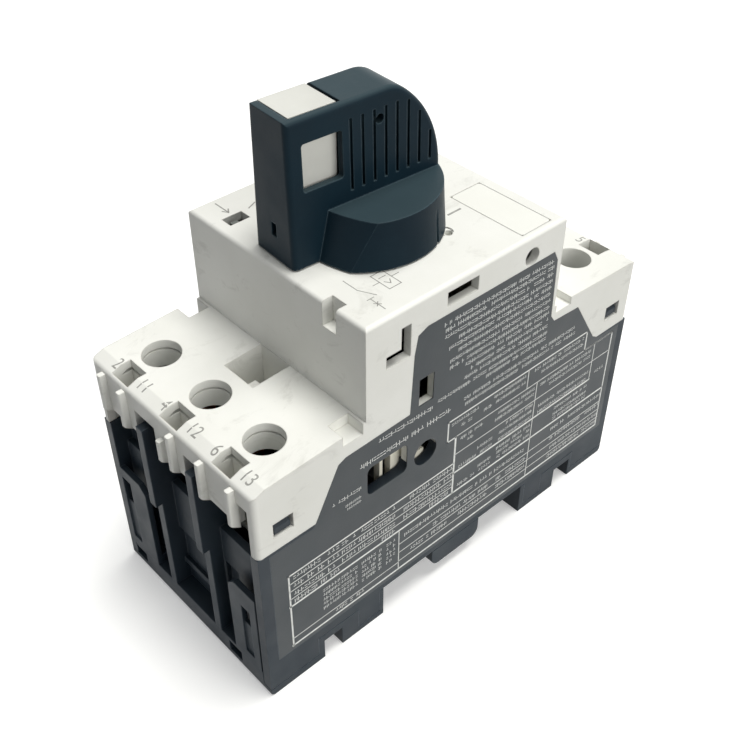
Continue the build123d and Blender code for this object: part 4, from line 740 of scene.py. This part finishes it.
for mark in MARKS:
    joined = add_node(tree, "GeometryNodeJoinGeometry")
    for x0, y0, x1, y1 in mark:
        bar = add_node(tree, "GeometryNodeMeshGrid",
                       inputs={"Size X": abs(x1 - x0) + MARK_LINE, "Size Y": abs(y1 - y0) + MARK_LINE,
                               "Vertices X": 2, "Vertices Y": 2})
        moved = add_node(tree, "GeometryNodeTransform",
                         inputs={"Geometry": bar.outputs[0],
                                 "Translation": ((x0 + x1) / 2, (y0 + y1) / 2, 0.0)})
        tree.links.new(moved.outputs[0], joined.inputs[0])
    single = add_node(tree, "GeometryNodeGeometryToInstance", inputs={0: joined.outputs[0]})
    tree.links.new(single.outputs[0], marks.inputs[0])
# Each mark is turned upright on the label, to face along +X.
spread = add_node(tree, "GeometryNodeInstanceOnPoints",
                  inputs={"Points": beads.outputs[0], "Selection": kept.outputs[3],
                          "Instance": marks.outputs[0], "Pick Instance": True,
                          "Instance Index": pick.outputs[2],
                          "Rotation": Euler((math.pi / 2, 0.0, math.pi / 2)),
                          "Scale": tall.outputs["Attribute"]})
end_tree(tree, spread.outputs[0], white_ink)

# Rows of small print: letter height, then each row's height on the label and its spans along y.
ROWS = [
    (0.95, 62.8, ((-6.6, 20.1),)), (0.95, 61.5, ((-6.3, 20.4),)), (0.95, 60.1, ((-6.4, 20.4),)),
    (0.95, 58.6, ((-3.0, 20.4),)), (0.95, 57.25, ((-5.2, 20.4),)), (0.95, 55.8, ((-2.9, 20.4),)),
    (0.95, 54.25, ((-4.75, 20.6),)), (0.95, 52.8, ((-4.75, 20.6),)), (0.95, 51.4, ((-1.0, 20.75),)),
    (0.95, 49.9, ((0.6, 20.75),)), (0.95, 48.4, ((-1.0, 20.75),)), (0.95, 46.8, ((-7.25, 20.9),)),
    (0.95, 45.5, ((4.8, 20.75),)), (0.95, 43.4, ((-0.6, 29.5),)), (0.95, 42.0, ((-0.2, 29.8),)),
    (1.1, 46.2, ((-20.8, -8.5),)), (1.2, 42.9, ((-24.9, -3.9),)), (1.0, 38.25, ((-31.0, -24.75),)),
    (0.7, 36.3, ((-28.3, -24.75),)), (0.7, 35.35, ((-28.3, -24.75),)),
    (1.1, 10.75, ((-31.0, -23.6),)), (1.1, 18.2, ((-14.25, 19.2),)),
    (1.1, 15.3, ((-6.75, 8.25), (10.75, 19.5))), (1.1, 13.05, ((-13.3, -3.0), (0.1, 8.25), (10.1, 19.5))),
    (1.0, 24.4, ((9.8, 13.6), (14.5, 19.5))), (0.9, 23.15, ((4.8, 8.25), (10.1, 19.5))),
    (0.9, 21.8, ((-0.8, 3.9), (5.1, 8.25), (10.1, 19.5))), (0.9, 29.85, ((9.8, 19.5),)),
    (0.9, 28.3, ((4.2, 8.25), (10.1, 19.5), (21.4, 36.7))),
    (0.9, 26.65, ((-0.8, 3.9), (5.1, 8.25), (10.1, 19.5), (21.4, 36.7))),
    (0.9, 33.95, ((-0.8, 5.1), (9.2, 19.5), (21.1, 36.4))),
    (0.9, 32.55, ((1.1, 3.9), (8.6, 19.5), (23.9, 36.4))),
    (0.9, 38.8, ((-3.3, 3.6), (7.6, 16.4), (18.9, 33.25))),
    (0.9, 37.3, ((-0.8, 2.0), (5.1, 16.4), (21.0, 33.25))), (1.0, 26.9, ((38.9, 41.7),))]
ROWS += [(1.15, z, ((-39.9, -33.3), (-32.4, -29.9), (-29.25, -26.1), (-25.5, -22.1),
                    (-21.75, -16.75), (-14.6, -2.4))) for z in (27.4, 25.3, 23.2)]
ROWS += [(1.15, 21.4, ((-39.9, -29.9), (-19.9, -16.75), (-8.0, -2.4)))]
ROWS += [(0.95, z, ((-33.75, -29.9), (-29.6, -25.8), (-24.75, -21.4), (-20.8, -20.0),
                    (-18.75, -16.6))) for z in (18.75, 17.5, 16.25, 15.1, 13.9)]
ROWS += [(1.0, z, ((26.7, 37.6), (38.0, 42.6))) for z in (18.7, 15.9, 13.1, 10.9)]
ROWS += [(0.9, z, ((26.7, 37.0),)) for z in (24.4, 22.8, 21.6)]
# A row ends half a letter early, so that its last mark stays inside its span.
ends = []
heights = []
for tall_mm, z, spans in ROWS:
    for y0, y1 in spans:
        for y in (y0, y1 - 0.5 * tall_mm):
            ends.append((PRINT_FACE * MM, y * MM, z * MM))
            heights.append(tall_mm * MM)
start = bpy.data.meshes.new("small_print_start")
start.from_pydata(ends, [(n, n + 1) for n in range(0, len(ends), 2)], [])
start.attributes.new("tall", "FLOAT", "POINT").data.foreach_set("value", heights)
mesh = grow("small_print", tree, {"Pitch": MARK_PITCH, "Kept": KEPT_MARKS}, start)
place_piece("small_print", mesh, "housing")
